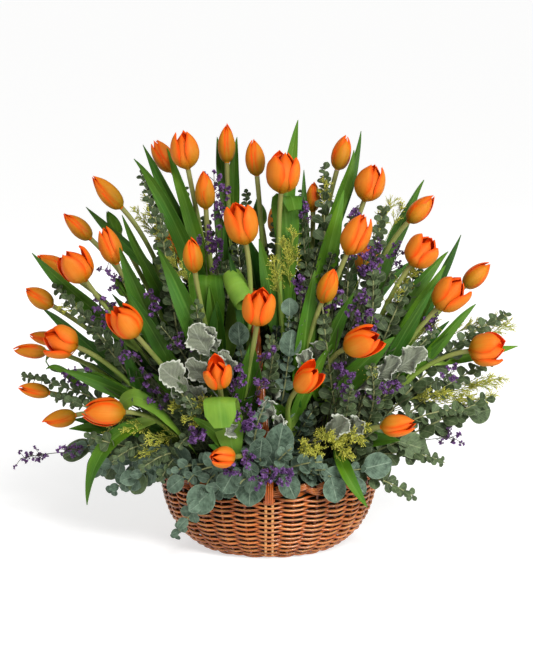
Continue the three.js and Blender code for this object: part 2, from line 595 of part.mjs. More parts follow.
// A block of wet foam that fills the tray and stands a little above it, with a hole for each bunch.
function floralFoam() {
  const inset = TRAY_INSET + TRAY_THICKNESS + 0.6;
  const sides = insideRings(TRAY_SIDES, inset, TRAY_FLOOR + TRAY_THICKNESS + 0.6);
  const width = widthAt(INSIDE_PROFILE, TRAY_TOP) - inset;
  const crown = ovalRing(TRAY_SIDES, width - 8, FOAM_TOP);
  let foam = skin([...sides, crown], null, null);
  for (const { at: [x, y], radius } of Object.values(STUBS)) {
    const hole = new THREE.CylinderGeometry(radius + GAP, radius + GAP, HOLE_DEPTH * 2, STUB_SIDES);
    hole.rotateX(Math.PI / 2).translate(x, y, FOAM_TOP);
    foam = foam.subtract(solid(hole));
  }
  return foam;
}

// ---------------------------------------------------------------- tulips

// Each form: [fraction of the length, fraction of the widest radius] up the outside.
const HEAD_FORMS = {
  bud: { rings: [[0.08, 0.56], [0.4, 1], [0.78, 0.7]] },
  green: { rings: [[0.12, 0.7], [0.6, 0.9]] },
  half: {
    rings: [[0.07, 0.5], [0.32, 0.98], [0.66, 1], [0.97, 0.52]],
    mouth: { depth: 0.6, radius: 0.3 },
  },
  open: {
    rings: [[0.07, 0.48], [0.32, 0.94], [0.66, 1.04], [0.96, 0.9]],
    mouth: { depth: 0.42, radius: 0.6 },
  },
};
const PETAL_COLUMNS = 12;
const OUTER_PETAL = 1;
const INNER_PETAL = 0.93;
const SEAM = 0.84;
const NOTCH = 0.17;

// Columns go round as outer petal, seam, inner petal, seam, three times.
function petalColumn(i) {
  if (i % 2) return { swell: SEAM, seam: true };
  return { swell: i % 4 ? INNER_PETAL : OUTER_PETAL, seam: false };
}

function tulipEnds({ base, tip, back, lean }) {
  const depth = frontDepth(...base) + back;
  return [seenAt(...base, depth), seenAt(...tip, depth + lean)];
}

// A head: six petals that overlap, three outside and three inside, grooved where they meet. Buds close
// to a point, open blooms end in a toothed rim round a hollow.
function tulipHead(tulip, grow = 0) {
  const [base, tip] = tulipEnds(tulip);
  const axis = tip.clone().sub(base);
  const length = axis.length();
  axis.normalize();
  const [first, second] = crossways(axis, new THREE.Vector3(0, -1, 0));
  const radius = tulip.width / 2;
  const { rings, mouth } = HEAD_FORMS[tulip.form];
  const at = (up, out, around) => base.clone()
    .addScaledVector(axis, up)
    .addScaledVector(first, out * Math.cos(around))
    .addScaledVector(second, out * Math.sin(around));
  const ring = (t, share, inset, top) => Array.from({ length: PETAL_COLUMNS }, (_, i) => {
    const { swell, seam } = petalColumn(i);
    const around = (i / PETAL_COLUMNS) * 2 * Math.PI;
    const up = (t - (top && seam ? NOTCH : 0)) * length + (top ? grow : 0);
    return at(up, radius * share * swell - inset + grow, around);
  });
  const outside = rings.map(([t, share], i) => ring(t, share, 0, mouth && i === rings.length - 1));
  const start = at(-grow, 0, 0);
  if (!mouth || grow) return skin(outside, start, at(length + grow, 0, 0));
  const inside = ring(mouth.depth, mouth.radius, 0, false);
  return skin([...outside, inside], start, at(mouth.depth * length - 4, 0, 0));
}

function stubPoint(name, z) {
  const [x, y] = STUBS[name].at;
  return new THREE.Vector3(x, y, z);
}

// The short thick foot in which the stems of one bunch stand together in their hole.
function stub(name) {
  const { radius } = STUBS[name];
  const bottom = FOAM_TOP - HOLE_DEPTH + GAP;
  const foot = new THREE.CylinderGeometry(radius * 0.92, radius, STUB_TOP - bottom, STUB_SIDES);
  foot.rotateX(Math.PI / 2).translate(...stubPoint(name, (STUB_TOP + bottom) / 2).toArray());
  return solid(foot);
}

// A stem leaves its stub upwards and outwards, and meets its head along the head's own axis.
function stemCurve(tulip, bend) {
  const [base, tip] = tulipEnds(tulip);
  const axis = tip.clone().sub(base).normalize();
  const end = base.clone().addScaledVector(axis, tulip.form === 'green' ? 2 : -CLEARANCE - 0.15);
  const start = stubPoint(tulip.bunch, STUB_TOP - 3);
  const outward = end.clone().sub(start).setZ(0);
  start.addScaledVector(outward.clone().normalize(), STUBS[tulip.bunch].radius * 0.45);
  const distance = end.distanceTo(start);
  const low = start.clone().lerp(end, 0.3)
    .add(new THREE.Vector3(0, 0, outward.length() * 0.12)).add(bend);
  const high = end.clone().addScaledVector(axis, -distance * 0.28).addScaledVector(bend, 0.4);
  return new THREE.CubicBezierCurve3(start, low, high, end);
}

// ---------------------------------------------------------------- blades

// Each form: [fraction of the length, fraction of the half width] of the rings before the tip, and how
// deep the blade is folded, as a fraction of its half width.
const BROAD_BLADE = { rings: [[0, 0.45], [0.25, 0.9], [0.5, 1], [0.75, 0.66]], fold: 0.34 };
const NARROW_BLADE = { rings: [[0, 0.5], [0.33, 1], [0.67, 0.72]], fold: 0.34 };
const ROUND_BLADE = { rings: [[0, 0.06], [0.25, 0.8], [0.55, 1], [0.82, 0.72]], fold: 0.12 };
const NARROW = 24;
const EDGE_WAVE = 0.07;
const LIGHT_SIDE = new THREE.Vector3(0, -1, 0.35).normalize();
const OUTWARD_SHARE = 0.004;

// A blade along a curve, folded along its keel and pointed at its tip. Its section has four corners:
// the keel's face, an edge, the keel's back and the other edge.
function blade(curve, { rings, fold }, width, grow = 0) {
  const sections = rings.map(([t, share], i) => {
    const middle = curve.getPointAt(t);
    const outward = middle.clone().setZ(0).multiplyScalar(OUTWARD_SHARE).add(LIGHT_SIDE);
    const [face, side] = crossways(curve.getTangentAt(t), outward);
    const half = (width / 2) * share + grow;
    const thick = BLADE_THICKNESS / 2 + grow;
    const wave = (i % 2 ? 1 : -1) * half * EDGE_WAVE;
    return [
      middle.clone().addScaledVector(face, thick),
      middle.clone().addScaledVector(side, -half).addScaledVector(face, half * fold - wave),
      middle.clone().addScaledVector(face, -thick),
      middle.clone().addScaledVector(side, half).addScaledVector(face, half * fold + wave),
    ];
  });
  return skin(sections, null, curve.getPointAt(1).addScaledVector(curve.getTangentAt(1), grow), true);
}

// A round leaf at the end of a thin stalk, both in one blade.
function stalkedBlade(curve, long, wide, grow = 0) {
  const share = Math.min(0.9, long / curve.getLength());
  const leafRings = ROUND_BLADE.rings.map(([t, half]) => [1 - share + share * t, half]);
  const form = { rings: [[0, ROUND_BLADE.rings[0][1]], ...leafRings], fold: ROUND_BLADE.fold };
  return blade(curve, form, wide, grow);
}

// A small flat leaf: an oval rim round a slightly thicker middle, growing from root along direction.
function leaflet(root, direction, face, long, wide, corners, grow = 0) {
  const [normal, side] = crossways(direction, face);
  const middle = root.clone().addScaledVector(direction, long / 2);
  const thick = 0.7 + grow;
  const rim = Array.from({ length: corners }, (_, i) => {
    const around = (i / corners) * 2 * Math.PI + Math.PI;
    return middle.clone()
      .addScaledVector(direction, (long / 2 + grow) * Math.cos(around))
      .addScaledVector(side, (wide / 2 + grow) * Math.sin(around));
  });
  const faceMiddle = (lift) => middle.clone().addScaledVector(normal, lift);
  return skin([rim], faceMiddle(-thick), faceMiddle(thick));
}

// ---------------------------------------------------------------- twigs with small repeats

// Repeatable numbers between 0 and 1.
function seeded(seed) {
  let state = seed;
  return () => {
    state = (state * 1664525 + 1013904223) % 4294967296;
    return state / 4294967296;
  };
}

// A twig's path from its stub, bent by shift in its middle and half as much at its tip.
function twigCurve(branch, via, tip, shift) {
  const start = stubPoint(branch, STUB_TOP - 3);
  const rise = new THREE.Vector3(0, 0, start.distanceTo(tip) * 0.12);
  const middle = via ?? start.clone().lerp(tip, 0.5).add(rise);
  return new THREE.QuadraticBezierCurve3(
    start,
    middle.clone().add(shift),
    tip.clone().addScaledVector(shift, 0.4),
  );
}

// A sprig: pairs of leaves up its twig, each pair turned a quarter from the last and smaller than it.
function sprig({ branch, via, tip, leaf, pairs, bare }, random, round) {
  const radius = round ? 1.7 : 1.4;
  const placed = bendClear((shift) => {
    const curve = twigCurve(branch, spot(via), spot(tip), shift);
    return { body: rod(curve, radius, 3, TWIG_STEPS), curve };
  }, branch);
  const pieces = [trimmed(placed.body, branch)];
  const fat = [rod(placed.curve, radius + CLEARANCE, 3, TWIG_STEPS)];
  const up = new THREE.Vector3(0, -0.5, 1).normalize();
  for (let i = 0; i < pairs; i++) {
    const t = bare + ((1 - bare) * (i + 0.4)) / pairs;
    const along = placed.curve.getTangent(t);
    const root = placed.curve.getPoint(t);
    const [first, second] = crossways(along, up);
    const turn = (i % 2) * (Math.PI / 2) + Math.PI / 4 + (random() - 0.5) * 0.5;
    const out = first.clone().multiplyScalar(Math.cos(turn)).addScaledVector(second, Math.sin(turn));
    const long = leaf * (1 - 0.5 * (i / pairs)) * (0.9 + 0.2 * random());
    for (const sign of [1, -1]) {
      const direction = out.clone().multiplyScalar(sign).addScaledVector(along, 0.55).normalize();
      const wide = long * (round ? 0.95 : 0.56);
      const make = (grow) => leaflet(root, direction, along, long, wide, round ? 6 : 4, grow);
      const body = make(0);
      if (blocked(body, branch) === 0) {
        pieces.push(body);
        fat.push(make(CLEARANCE));
      }
    }
  }
  fat.forEach((piece) => stand(piece, branch));
  return pieces;
}

// A head of florets on its stalk, in one skin: round the top of the stalk every other corner of every
// ring stands out as the tip of a floret, and the corners between them fall back to the core.
const PLUME_CORNERS = 6;

function floretHead({ branch, tip, tall }, random, { rows, reach, core, radius }) {
  const reaches = Array.from({ length: rows * PLUME_CORNERS }, () => 0.7 + 0.5 * random());
  const make = (curve, grow) => {
    const bare = 1 - tall / curve.getLength();
    const ring = (t, widths) => {
      const [first, second] = crossways(curve.getTangent(t), new THREE.Vector3(0, -1, 0));
      return widths.map((width, k) => {
        const around = (k / PLUME_CORNERS) * 2 * Math.PI;
        return curve.getPoint(t)
          .addScaledVector(first, (width + grow) * Math.cos(around))
          .addScaledVector(second, (width + grow) * Math.sin(around));
      });
    };
    const stalk = [0, 0.5, 1].map((share) => ring(share * bare, Array(PLUME_CORNERS).fill(radius)));
    const head = Array.from({ length: rows }, (_, row) => {
      const narrow = 1 - 0.6 * (row / rows);
      const widths = Array.from({ length: PLUME_CORNERS }, (_, k) => (
        (k + row) % 2 ? reach * narrow * reaches[row * PLUME_CORNERS + k] : core * narrow));
      return ring(bare + ((1 - bare) * (row + 0.6)) / rows, widths);
    });
    const end = curve.getPoint(1).addScaledVector(curve.getTangent(1), 2 + grow);
    return skin([...stalk, ...head], null, end);
  };
  const placed = bendClear((shift) => {
    const curve = twigCurve(branch, null, spot(tip), shift);
    return { body: make(curve, 0), curve };
  }, branch);
  stand(make(placed.curve, CLEARANCE), branch);
  return [trimmed(placed.body, branch)];
}

// A leaf of dusty miller: a flat blade cut into rounded lobes on both sides of its rib, on a long stalk.
const LOBES = [[0, 0.06], [0.24, 0.32], [0.42, 0.12], [0.52, 0.4], [0.7, 0.16], [0.8, 0.34]];
const LEAF_STALK = 1.5;

function lobedLeaf(root, tip, long, grow = 0) {
  const axis = tip.clone().sub(root);
  const length = axis.length();
  axis.normalize();
  const [normal, side] = crossways(axis, LIGHT_SIDE);
  const lobes = [[0, LEAF_STALK], ...LOBES.map(([t, out]) => [length - long + long * t, long * out])];
  const outline = [...lobes.map(([up, out]) => [up, -out]), [length, 0], ...lobes.toReversed()];
  const thick = 0.7 + grow;
  const corner = ([up, out], lift) => root.clone()
    .addScaledVector(axis, up)
    .addScaledVector(side, out + Math.sign(out) * grow)
    .addScaledVector(normal, lift + Math.abs(out) * 0.25);
  const faces = THREE.ShapeUtils.triangulateShape(outline.map((o) => new THREE.Vector2(...o)), []);
  const points = [...outline.map((o) => corner(o, thick)), ...outline.map((o) => corner(o, -thick))];
  const count = outline.length;
  const index = [];
  faces.forEach(([a, b, c]) => index.push(a, b, c, count + a, count + c, count + b));
  for (let i = 0; i < count; i++) {
    const j = (i + 1) % count;
    index.push(i, count + i, count + j, i, count + j, j);
  }
  return solid(new THREE.BufferGeometry().setFromPoints(points).setIndex(index));
}

// ---------------------------------------------------------------- the arrangement

const MATERIALS = {
  willow: new THREE.MeshStandardMaterial({ color: '#b5622c', roughness: 0.38, metalness: 0 }),
  tray: new THREE.MeshStandardMaterial({ color: '#2c3a2c', roughness: 0.5, metalness: 0 }),
  foam: new THREE.MeshStandardMaterial({ color: '#2f5a33', roughness: 0.95, metalness: 0 }),
  bloom: new THREE.MeshStandardMaterial({ color: '#f0741c', roughness: 0.5, metalness: 0 }),
  bud: new THREE.MeshStandardMaterial({ color: '#dc9a3a', roughness: 0.5, metalness: 0 }),
  stem: new THREE.MeshStandardMaterial({ color: '#4f8a36', roughness: 0.5, metalness: 0 }),
  eucalyptus: new THREE.MeshStandardMaterial({ color: '#6f9380', roughness: 0.7, metalness: 0 }),
  silver: new THREE.MeshStandardMaterial({ color: '#7c9f93', roughness: 0.7, metalness: 0 }),
  statice: new THREE.MeshStandardMaterial({ color: '#6a3a93', roughness: 0.8, metalness: 0 }),
  solidago: new THREE.MeshStandardMaterial({ color: '#b5b53e', roughness: 0.8, metalness: 0 }),
  dusty: new THREE.MeshStandardMaterial({ color: '#a9b3aa', roughness: 0.9, metalness: 0 }),
};

const arrangement = new THREE.Group();

function addNode(name, body, material) {
  const { vertProperties, triVerts } = body.getMesh();
  const geometry = new THREE.BufferGeometry();
  geometry.setAttribute('position', new THREE.BufferAttribute(vertProperties, 3));
  geometry.setIndex(new THREE.BufferAttribute(triVerts, 1));
  geometry.computeVertexNormals();
  const mesh = new THREE.Mesh(geometry, material);
  mesh.name = name;
  arrangement.add(mesh);
}

addNode('basket_base', basketBase(), MATERIALS.willow);
addNode('basket_wall', basketWall(), MATERIALS.willow);
addNode('basket_border', basketBorder(), MATERIALS.willow);
addNode('basket_handle', joined([handleHoop(), ...handleCanes()]), MATERIALS.willow);
addNode('water_tray', waterTray(), MATERIALS.tray);
addNode('floral_foam', floralFoam(), MATERIALS.foam);
stand(basketWall(), 'basket');
stand(basketBorder(CLEARANCE), 'basket');
stand(handleHoop(CLEARANCE), 'basket');
handleCanes().forEach((cane) => stand(cane, 'basket'));
Object.keys(STUBS).forEach((name) => stand(stub(name), name));

// Heads come first: nothing else may cross them.
for (const tulip of TULIPS) {
  if (tulip.form === 'green') continue;
  addNode(tulip.name, tulipHead(tulip), tulip.form === 'bud' ? MATERIALS.bud : MATERIALS.bloom);
  stand(tulipHead(tulip, CLEARANCE), tulip.name);
}

// Then the stems of each bunch, and after all the stems, the leaves that grow from them.
const bunches = Object.fromEntries(TULIPS.map(({ bunch }) => [bunch, [stub(bunch)]]));
const stems = {};
for (const tulip of TULIPS) {
  const { bunch } = tulip;
  const { body, curve } = bendClear((bend) => {
    const path = stemCurve(tulip, bend);
    return { body: rod(path, STEM_RADIUS, STEM_SIDES, STEM_STEPS), curve: path };
  }, bunch);
  stems[tulip.name] = { curve, bunch };
  bunches[bunch].push(trimmed(body, bunch));
  stand(rod(curve, STEM_RADIUS + CLEARANCE, STEM_SIDES, STEM_STEPS), bunch);
  if (tulip.form === 'green') {
    bunches[bunch].push(tulipHead(tulip));
    stand(tulipHead(tulip, CLEARANCE), bunch);
  }
}
for (const { on, at, via, tip, width } of LEAVES) {
  const { curve: stem, bunch } = stems[on];
  const form = width < NARROW ? NARROW_BLADE : BROAD_BLADE;
  const make = (shift, grow = 0) => blade(new THREE.QuadraticBezierCurve3(
    stem.getPointAt(at),
    spot(via).add(shift),
    spot(tip).addScaledVector(shift, 0.7),
  ), form, width, grow);
  const placed = bendClear((shift) => ({ body: make(shift) }), bunch);
  bunches[bunch].push(trimmed(placed.body, bunch));
  stand(make(placed.shift, CLEARANCE), bunch);
}

// The small-leaved stuff fills the room that is left.
const random = seeded(7);
const fillers = {};
const gather = (branch, pieces) => {
  fillers[branch] ??= [stub(branch)];
  fillers[branch].push(...pieces);
};
for (const { branch, via, tip, long, wide } of ROUND_LEAVES) {
  const make = (shift, grow = 0) => (
    stalkedBlade(twigCurve(branch, spot(via), spot(tip), shift), long, wide, grow));
  const placed = bendClear((shift) => ({ body: make(shift) }), branch);
  gather(branch, [trimmed(placed.body, branch)]);
  stand(make(placed.shift, CLEARANCE), branch);
}
ROUND_SPRIGS.forEach((plan) => gather(plan.branch, sprig(plan, random, true)));
SPRIGS.forEach((plan) => gather(plan.branch, sprig(plan, random, false)));
for (const { tip, long } of DUSTY) {
  const root = stubPoint('dusty', STUB_TOP - 3);
  const leaf = (shift, grow = 0) => lobedLeaf(root, spot(tip).add(shift), long, grow);
  const placed = bendClear((shift) => ({ body: leaf(shift) }), 'dusty');
  gather('dusty', [trimmed(placed.body, 'dusty')]);
  stand(leaf(placed.shift, CLEARANCE), 'dusty');
}
const STATICE_HEAD = { rows: 3, reach: 14, core: 3, radius: 1.3 };
const SOLIDAGO_HEAD = { rows: 3, reach: 9, core: 2, radius: 1.2 };
STATICE.forEach((plan) => gather(plan.branch, floretHead(plan, random, STATICE_HEAD)));
SOLIDAGO.forEach((plan) => gather(plan.branch, floretHead(plan, random, SOLIDAGO_HEAD)));

for (const [bunch, pieces] of Object.entries(bunches)) {
  addNode(`tulip_stems_${bunch}`, joined(pieces), MATERIALS.stem);
}
const FILLER_NODES = {
  eucalyptus_left: MATERIALS.eucalyptus,
  eucalyptus_right: MATERIALS.eucalyptus,
  eucalyptus_back: MATERIALS.eucalyptus,
  silver: MATERIALS.silver,
  statice_left: MATERIALS.statice,
  statice_right: MATERIALS.statice,
  solidago: MATERIALS.solidago,
  dusty: MATERIALS.dusty,
};
for (const [branch, material] of Object.entries(FILLER_NODES)) {
  addNode(branch, joined(fillers[branch]), material);
}

export default arrangement;
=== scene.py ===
# %% [markdown]
# # A basket of orange tulips
# A florist's arrangement: a woven willow basket with a hoop handle, a tray and wet foam inside it, and
# tulips, eucalyptus, statice, solidago and dusty miller that stand in the foam. The frame holds the plain
# solids at their real size. This script dresses each of them with a finer piece of the same form.
# First the frame is loaded, and its solids keep their real size and place.

import math
import random

import bpy
import numpy as np
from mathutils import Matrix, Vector
from mathutils.bvhtree import BVHTree


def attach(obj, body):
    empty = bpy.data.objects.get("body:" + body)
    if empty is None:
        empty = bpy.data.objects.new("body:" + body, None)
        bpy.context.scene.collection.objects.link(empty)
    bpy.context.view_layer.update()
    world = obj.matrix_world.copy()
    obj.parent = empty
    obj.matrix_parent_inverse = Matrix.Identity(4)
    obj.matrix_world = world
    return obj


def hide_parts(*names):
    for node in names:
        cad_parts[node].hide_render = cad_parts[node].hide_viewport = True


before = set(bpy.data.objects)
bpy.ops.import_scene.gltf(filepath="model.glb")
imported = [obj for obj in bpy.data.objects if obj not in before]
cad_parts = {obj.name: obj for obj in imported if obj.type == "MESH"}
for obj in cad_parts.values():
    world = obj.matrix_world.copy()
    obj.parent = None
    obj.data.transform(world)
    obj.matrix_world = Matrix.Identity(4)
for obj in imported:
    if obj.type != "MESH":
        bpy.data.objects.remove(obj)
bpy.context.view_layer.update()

# %% [markdown]
# ## The view
# The photograph was taken with a long lens from slightly above. The camera stands 2.4 m away, looks 12
# degrees downwards, and its lens gives 1739 pixels for each unit of slope in a frame 533 pixels wide and
# 664 high. The sensor's width belongs to the long side of the frame.

# %% Camera
MM = 0.001
FRAME_WIDE = 533
FRAME_HIGH = 664
LENS_PIXELS = 1739
SENSOR = 36
EYE_DISTANCE = 2400
EYE_ASIDE = -3.5
EYE_AIM_HEIGHT = 300
EYE_TILT = math.radians(12)

camera = bpy.data.objects.new("camera", bpy.data.cameras.new("camera"))
camera.data.sensor_width = SENSOR
camera.data.lens = LENS_PIXELS * SENSOR / FRAME_HIGH
aim = Vector((EYE_ASIDE, 0, EYE_AIM_HEIGHT))
back_to_eye = Vector((0, -math.cos(EYE_TILT), math.sin(EYE_TILT)))
camera.location = (aim + back_to_eye * EYE_DISTANCE) * MM
camera.rotation_mode = "QUATERNION"
camera.rotation_quaternion = (-back_to_eye).to_track_quat("-Z", "Y")
bpy.context.scene.collection.objects.link(camera)
bpy.context.scene.camera = camera
print("camera lens", round(camera.data.lens, 1), "mm")

# %% [markdown]
# ## Places in the view
# Blooms and leaves were laid out on the photograph: each is [across, down, back] in pixels of the frame
# and millimetres behind the round front of the bouquet. That front bulges 140 mm towards the camera in
# its middle and falls back to nothing at the outline. The functions below are the ones that the solids
# were made with, so both agree.

# %% From pixels to millimetres
VIEW_MIDDLE = (266.5, 332)
FRONT_MIDDLE = (267, 440)
FRONT_REACH = (250, 320)
FRONT_DEPTH = 140


def front_depth(across, down):
    u = (across - FRONT_MIDDLE[0]) / FRONT_REACH[0]
    v = max(0, FRONT_MIDDLE[1] - down) / FRONT_REACH[1]
    return -FRONT_DEPTH * (1 - min(1, u * u + v * v))


def seen_at(across, down, y):
    slope = (VIEW_MIDDLE[1] - down) / LENS_PIXELS
    cos, sin = math.cos(EYE_TILT), math.sin(EYE_TILT)
    above = (slope * (EYE_DISTANCE + y * cos) - y * sin) / (cos + slope * sin)
    away = EYE_DISTANCE + y * cos - above * sin
    aside = EYE_ASIDE + (across - VIEW_MIDDLE[0]) / LENS_PIXELS * away
    return np.array([aside, y, EYE_AIM_HEIGHT + above])


def spot(across, down, back=0):
    return seen_at(across, down, front_depth(across, down) + back)


print("middle of the front:", spot(267, 400).round(1), "mm")

# %% [markdown]
# ## Finishes written as sums
# A material's nodes are easier to read as a formula. Value wraps a socket, so that mask * 0.5 + noise
# adds the Math nodes by itself, and Finish makes every other node with one method.

# %% Values
class Value:
    """A number from a node's socket that can be added, multiplied and compared."""

    def __init__(self, finish, socket):
        self.finish = finish
        self.socket = socket

    def math(self, operation, *others):
        return self.finish.add("ShaderNodeMath", {"operation": operation}, [self, *others])["Value"]

    def __add__(self, other):
        return self.math("ADD", other)

    def __sub__(self, other):
        return self.math("SUBTRACT", other)

    def __rsub__(self, other):
        return (self * -1).math("ADD", other)

    def __mul__(self, other):
        return self.math("MULTIPLY", other)

    def __truediv__(self, other):
        return self.math("DIVIDE", other)

    def __pow__(self, other):
        return self.math("POWER", other)

    __radd__ = __add__
    __rmul__ = __mul__

    def clamped(self):
        return self.math("MINIMUM", 1).math("MAXIMUM", 0)

    def between(self, low, high):
        """0 below low, 1 above high, a straight rise between them."""
        return ((self - low) / (high - low)).clamped()


print("values can be added, multiplied and compared")

# %% [markdown]
# ## A material with few words
# Every finish here is the Principled shader with formulas on a few of its sockets. Finish makes any node
# with one method, and mix, noise and bump are short words for the ones that return often. Colours are
# given as they look on a screen, because that is how they are compared with a photograph.

# %% Finishes
class Finish:
    """A material whose nodes are made from expressions."""

    def __init__(self, name):
        self.material = bpy.data.materials.new(name)
        self.material.use_nodes = True
        self.tree = self.material.node_tree
        self.tree.nodes.clear()

    def add(self, kind, settings, inputs):
        """A node of a kind: its settings first, then its inputs by name or, as a list, in order.

        It answers with the node's outputs by name, each as a Value.
        """
        node = self.tree.nodes.new(kind)
        for setting, value in settings.items():
            setattr(node, setting, value)
        pairs = enumerate(inputs) if isinstance(inputs, list) else inputs.items()
        for key, value in pairs:
            if isinstance(value, Value):
                self.tree.links.new(value.socket, node.inputs[key])
            else:
                node.inputs[key].default_value = value
        return {o.name: Value(self, o) for o in node.outputs if o.enabled}

    def mix(self, share, first, second):
        """From one colour to the other as share goes from 0 to 1."""
        settings = {"data_type": "RGBA", "clamp_factor": True}
        return self.add("ShaderNodeMix", settings, {0: share, 6: first, 7: second})["Result"]

    def told(self, name):
        """The three numbers that the mesh carries under a name at each point."""
        vector = self.add("ShaderNodeAttribute", {"attribute_name": name}, {})["Vector"]
        parts = self.add("ShaderNodeSeparateXYZ", {}, {"Vector": vector})
        return parts["X"], parts["Y"], parts["Z"]

    def place(self, x, y, z):
        """Three numbers as the place at which a noise is read."""
        return self.add("ShaderNodeCombineXYZ", {}, [x, y, z])["Vector"]

    def noise(self, place, scale, detail):
        inputs = {"Vector": place, "Scale": scale, "Detail": detail}
        return self.add("ShaderNodeTexNoise", {}, inputs)["Fac"]

    def bump(self, height, distance, strength):
        inputs = {"Height": height, "Distance": distance, "Strength": strength}
        return self.add("ShaderNodeBump", {}, inputs)["Normal"]

    def close(self, **surface):
        """Ends the finish with its surface, whose sockets are given by their names."""
        inputs = {name.replace("_", " "): value for name, value in surface.items()}
        shader = self.add("ShaderNodeBsdfPrincipled", {}, inputs)["BSDF"]
        self.add("ShaderNodeOutputMaterial", {}, {"Surface": shader})
        return self.material


def rgb(red, green, blue):
    """A screen colour, 0 to 255, as the linear light that a shader works with."""
    def light(c):
        c = c / 255
        return c / 12.92 if c <= 0.04045 else ((c + 0.055) / 1.055) ** 2.4
    return (light(red), light(green), light(blue), 1)


print("finishes can be written as sums")

# %% [markdown]
# ## Meshes from rows of points
# Petals, leaves, stems and willow rods are rows of points that are joined into quads. Form collects
# them. With each vertex goes what its finish has to know: "spot" holds how far across (-1 to 1) and
# along (0 to 1) its piece it lies and the piece's tone, "grain" the same place in millimetres with a
# mark for the side, which on a willow rod says where highlight and shade are painted. A colour then
# follows the leaf and not the room.

# %% Form
class Form:
    """Points and faces, gathered piece by piece."""

    def __init__(self):
        self.points = []
        self.faces = []
        self.caps = []
        self.spots = []
        self.grains = []
        self.count = 0

    def put(self, points, faces, spots, grains, caps=()):
        self.faces.append(np.asarray(faces) + self.count)
        self.caps += [[int(i) + self.count for i in cap] for cap in caps]
        self.points.append(points.reshape(-1, 3))
        self.spots.append(spots.reshape(-1, 3))
        self.grains.append(grains.reshape(-1, 3))
        self.count += len(self.points[-1])


def unit(vectors):
    length = np.linalg.norm(vectors, axis=-1, keepdims=True)
    return vectors / np.maximum(length, 1e-9)


def grid_faces(rows, columns, ring):
    """Quads between rows of points. A ring joins its last column to its first."""
    last = columns if ring else columns - 1
    r, c = np.meshgrid(np.arange(rows - 1), np.arange(last), indexing="ij")
    r, c = r.ravel(), c.ravel()
    n = (c + 1) % columns
    return np.stack([r * columns + c, r * columns + n, (r + 1) * columns + n, (r + 1) * columns + c], 1)


print("a grid of 3 by 4 points has", len(grid_faces(3, 4, False)), "quads")

# %% [markdown]
# ## Petals and leaves are thin shells
# A petal has a front and a back that look different. The Solidify modifier would give both the same
# mark, so the shell is written out: the grid is put down twice, half the thickness to each side, and a
# strip of quads closes the rim.

# %% Sheets
def grid(rows, columns):
    """Where a sheet's rows and columns lie, from 0 to 1 and -1 to 1, and both at each point."""
    along = np.linspace(0, 1, rows)
    across = np.linspace(-1, 1, columns)
    return along, across, *np.meshgrid(along, across, indexing="ij")


def sheet(form, points, thickness, across, along, tone, marks):
    """A thin closed shell on a grid of points whose rows run across the piece; one mark for each side."""
    rows, columns = points.shape[:2]
    normal = unit(np.cross(np.gradient(points, axis=1), np.gradient(points, axis=0)))
    half = normal * np.broadcast_to(thickness, (rows, columns))[..., None] / 2
    front = grid_faces(rows, columns, False)
    total = rows * columns
    edge = np.concatenate([
        np.arange(columns),
        np.arange(1, rows) * columns + columns - 1,
        (rows - 1) * columns + np.arange(columns - 2, -1, -1),
        np.arange(rows - 2, 0, -1) * columns,
    ])
    after = np.roll(edge, -1)
    sides = np.stack([after, edge, edge + total, after + total], 1)
    faces = np.concatenate([front, front[:, ::-1] + total, sides])
    u = np.broadcast_to(across, (rows, columns))
    v = np.broadcast_to(along[:, None], (rows, columns))
    middle = columns // 2
    wide = np.cumsum(np.linalg.norm(np.diff(points, axis=1, prepend=points[:, :1]), axis=2), axis=1)
    wide = wide - wide[:, middle:middle + 1]
    steps = np.linalg.norm(np.diff(points[:, middle], axis=0, prepend=points[:1, middle]), axis=1)
    long = np.broadcast_to(np.cumsum(steps)[:, None], (rows, columns))
    spots = np.stack([u, v, np.full_like(u, tone, dtype=float)], -1)
    grains = [np.stack([wide, long, np.full_like(wide, mark)], -1) for mark in marks]
    form.put(
        np.stack([points + half, points - half]), faces,
        np.stack([spots, spots]), np.stack(grains),
    )


print("sheets have two sides and a rim")

# %% [markdown]
# ## Stems and rods
# A stem or a willow rod is a section swept along a line. The rings are written out, because the marks go
# in with them. So that they don't spin, each takes over its neighbour's direction and only tilts with
# the line.

# %% Rods
def sweep(form, centres, first, second, wide, high, sides, tone, closed=False):
    """A rod with an oval section along its centres; first and second span the section."""
    rows = len(centres)
    around = np.linspace(0, 2 * np.pi, sides, endpoint=False)
    wide = np.broadcast_to(wide, rows)[:, None, None]
    high = np.broadcast_to(high, rows)[:, None, None]
    cos, sin = np.cos(around)[None, :, None], np.sin(around)[None, :, None]
    points = centres[:, None] + first[:, None] * wide * cos + second[:, None] * high * sin
    faces = grid_faces(rows, sides, True)
    caps = [list(range(sides))[::-1], list(range((rows - 1) * sides, rows * sides))]
    if closed:
        low = np.arange(sides)
        high_row = (rows - 1) * sides + low
        faces = np.concatenate([
            faces,
            np.stack([high_row, np.roll(high_row, -1), np.roll(low, -1), low], 1),
        ])
        caps = []
    steps = np.linalg.norm(np.diff(centres, axis=0, prepend=centres[:1]), axis=1)
    long = np.broadcast_to(np.cumsum(steps)[:, None], (rows, sides))
    share = np.broadcast_to(np.linspace(0, 1, rows)[:, None], (rows, sides))
    bent = np.broadcast_to(np.sin(around)[None], (rows, sides))
    spots = np.stack([bent, share, np.full((rows, sides), tone)], -1)
    turned = np.broadcast_to(around[None], (rows, sides))
    grains = np.stack([turned, long, np.zeros((rows, sides))], -1)
    form.put(points, faces, spots, grains, caps)


NEARLY_ALONG = 0.95


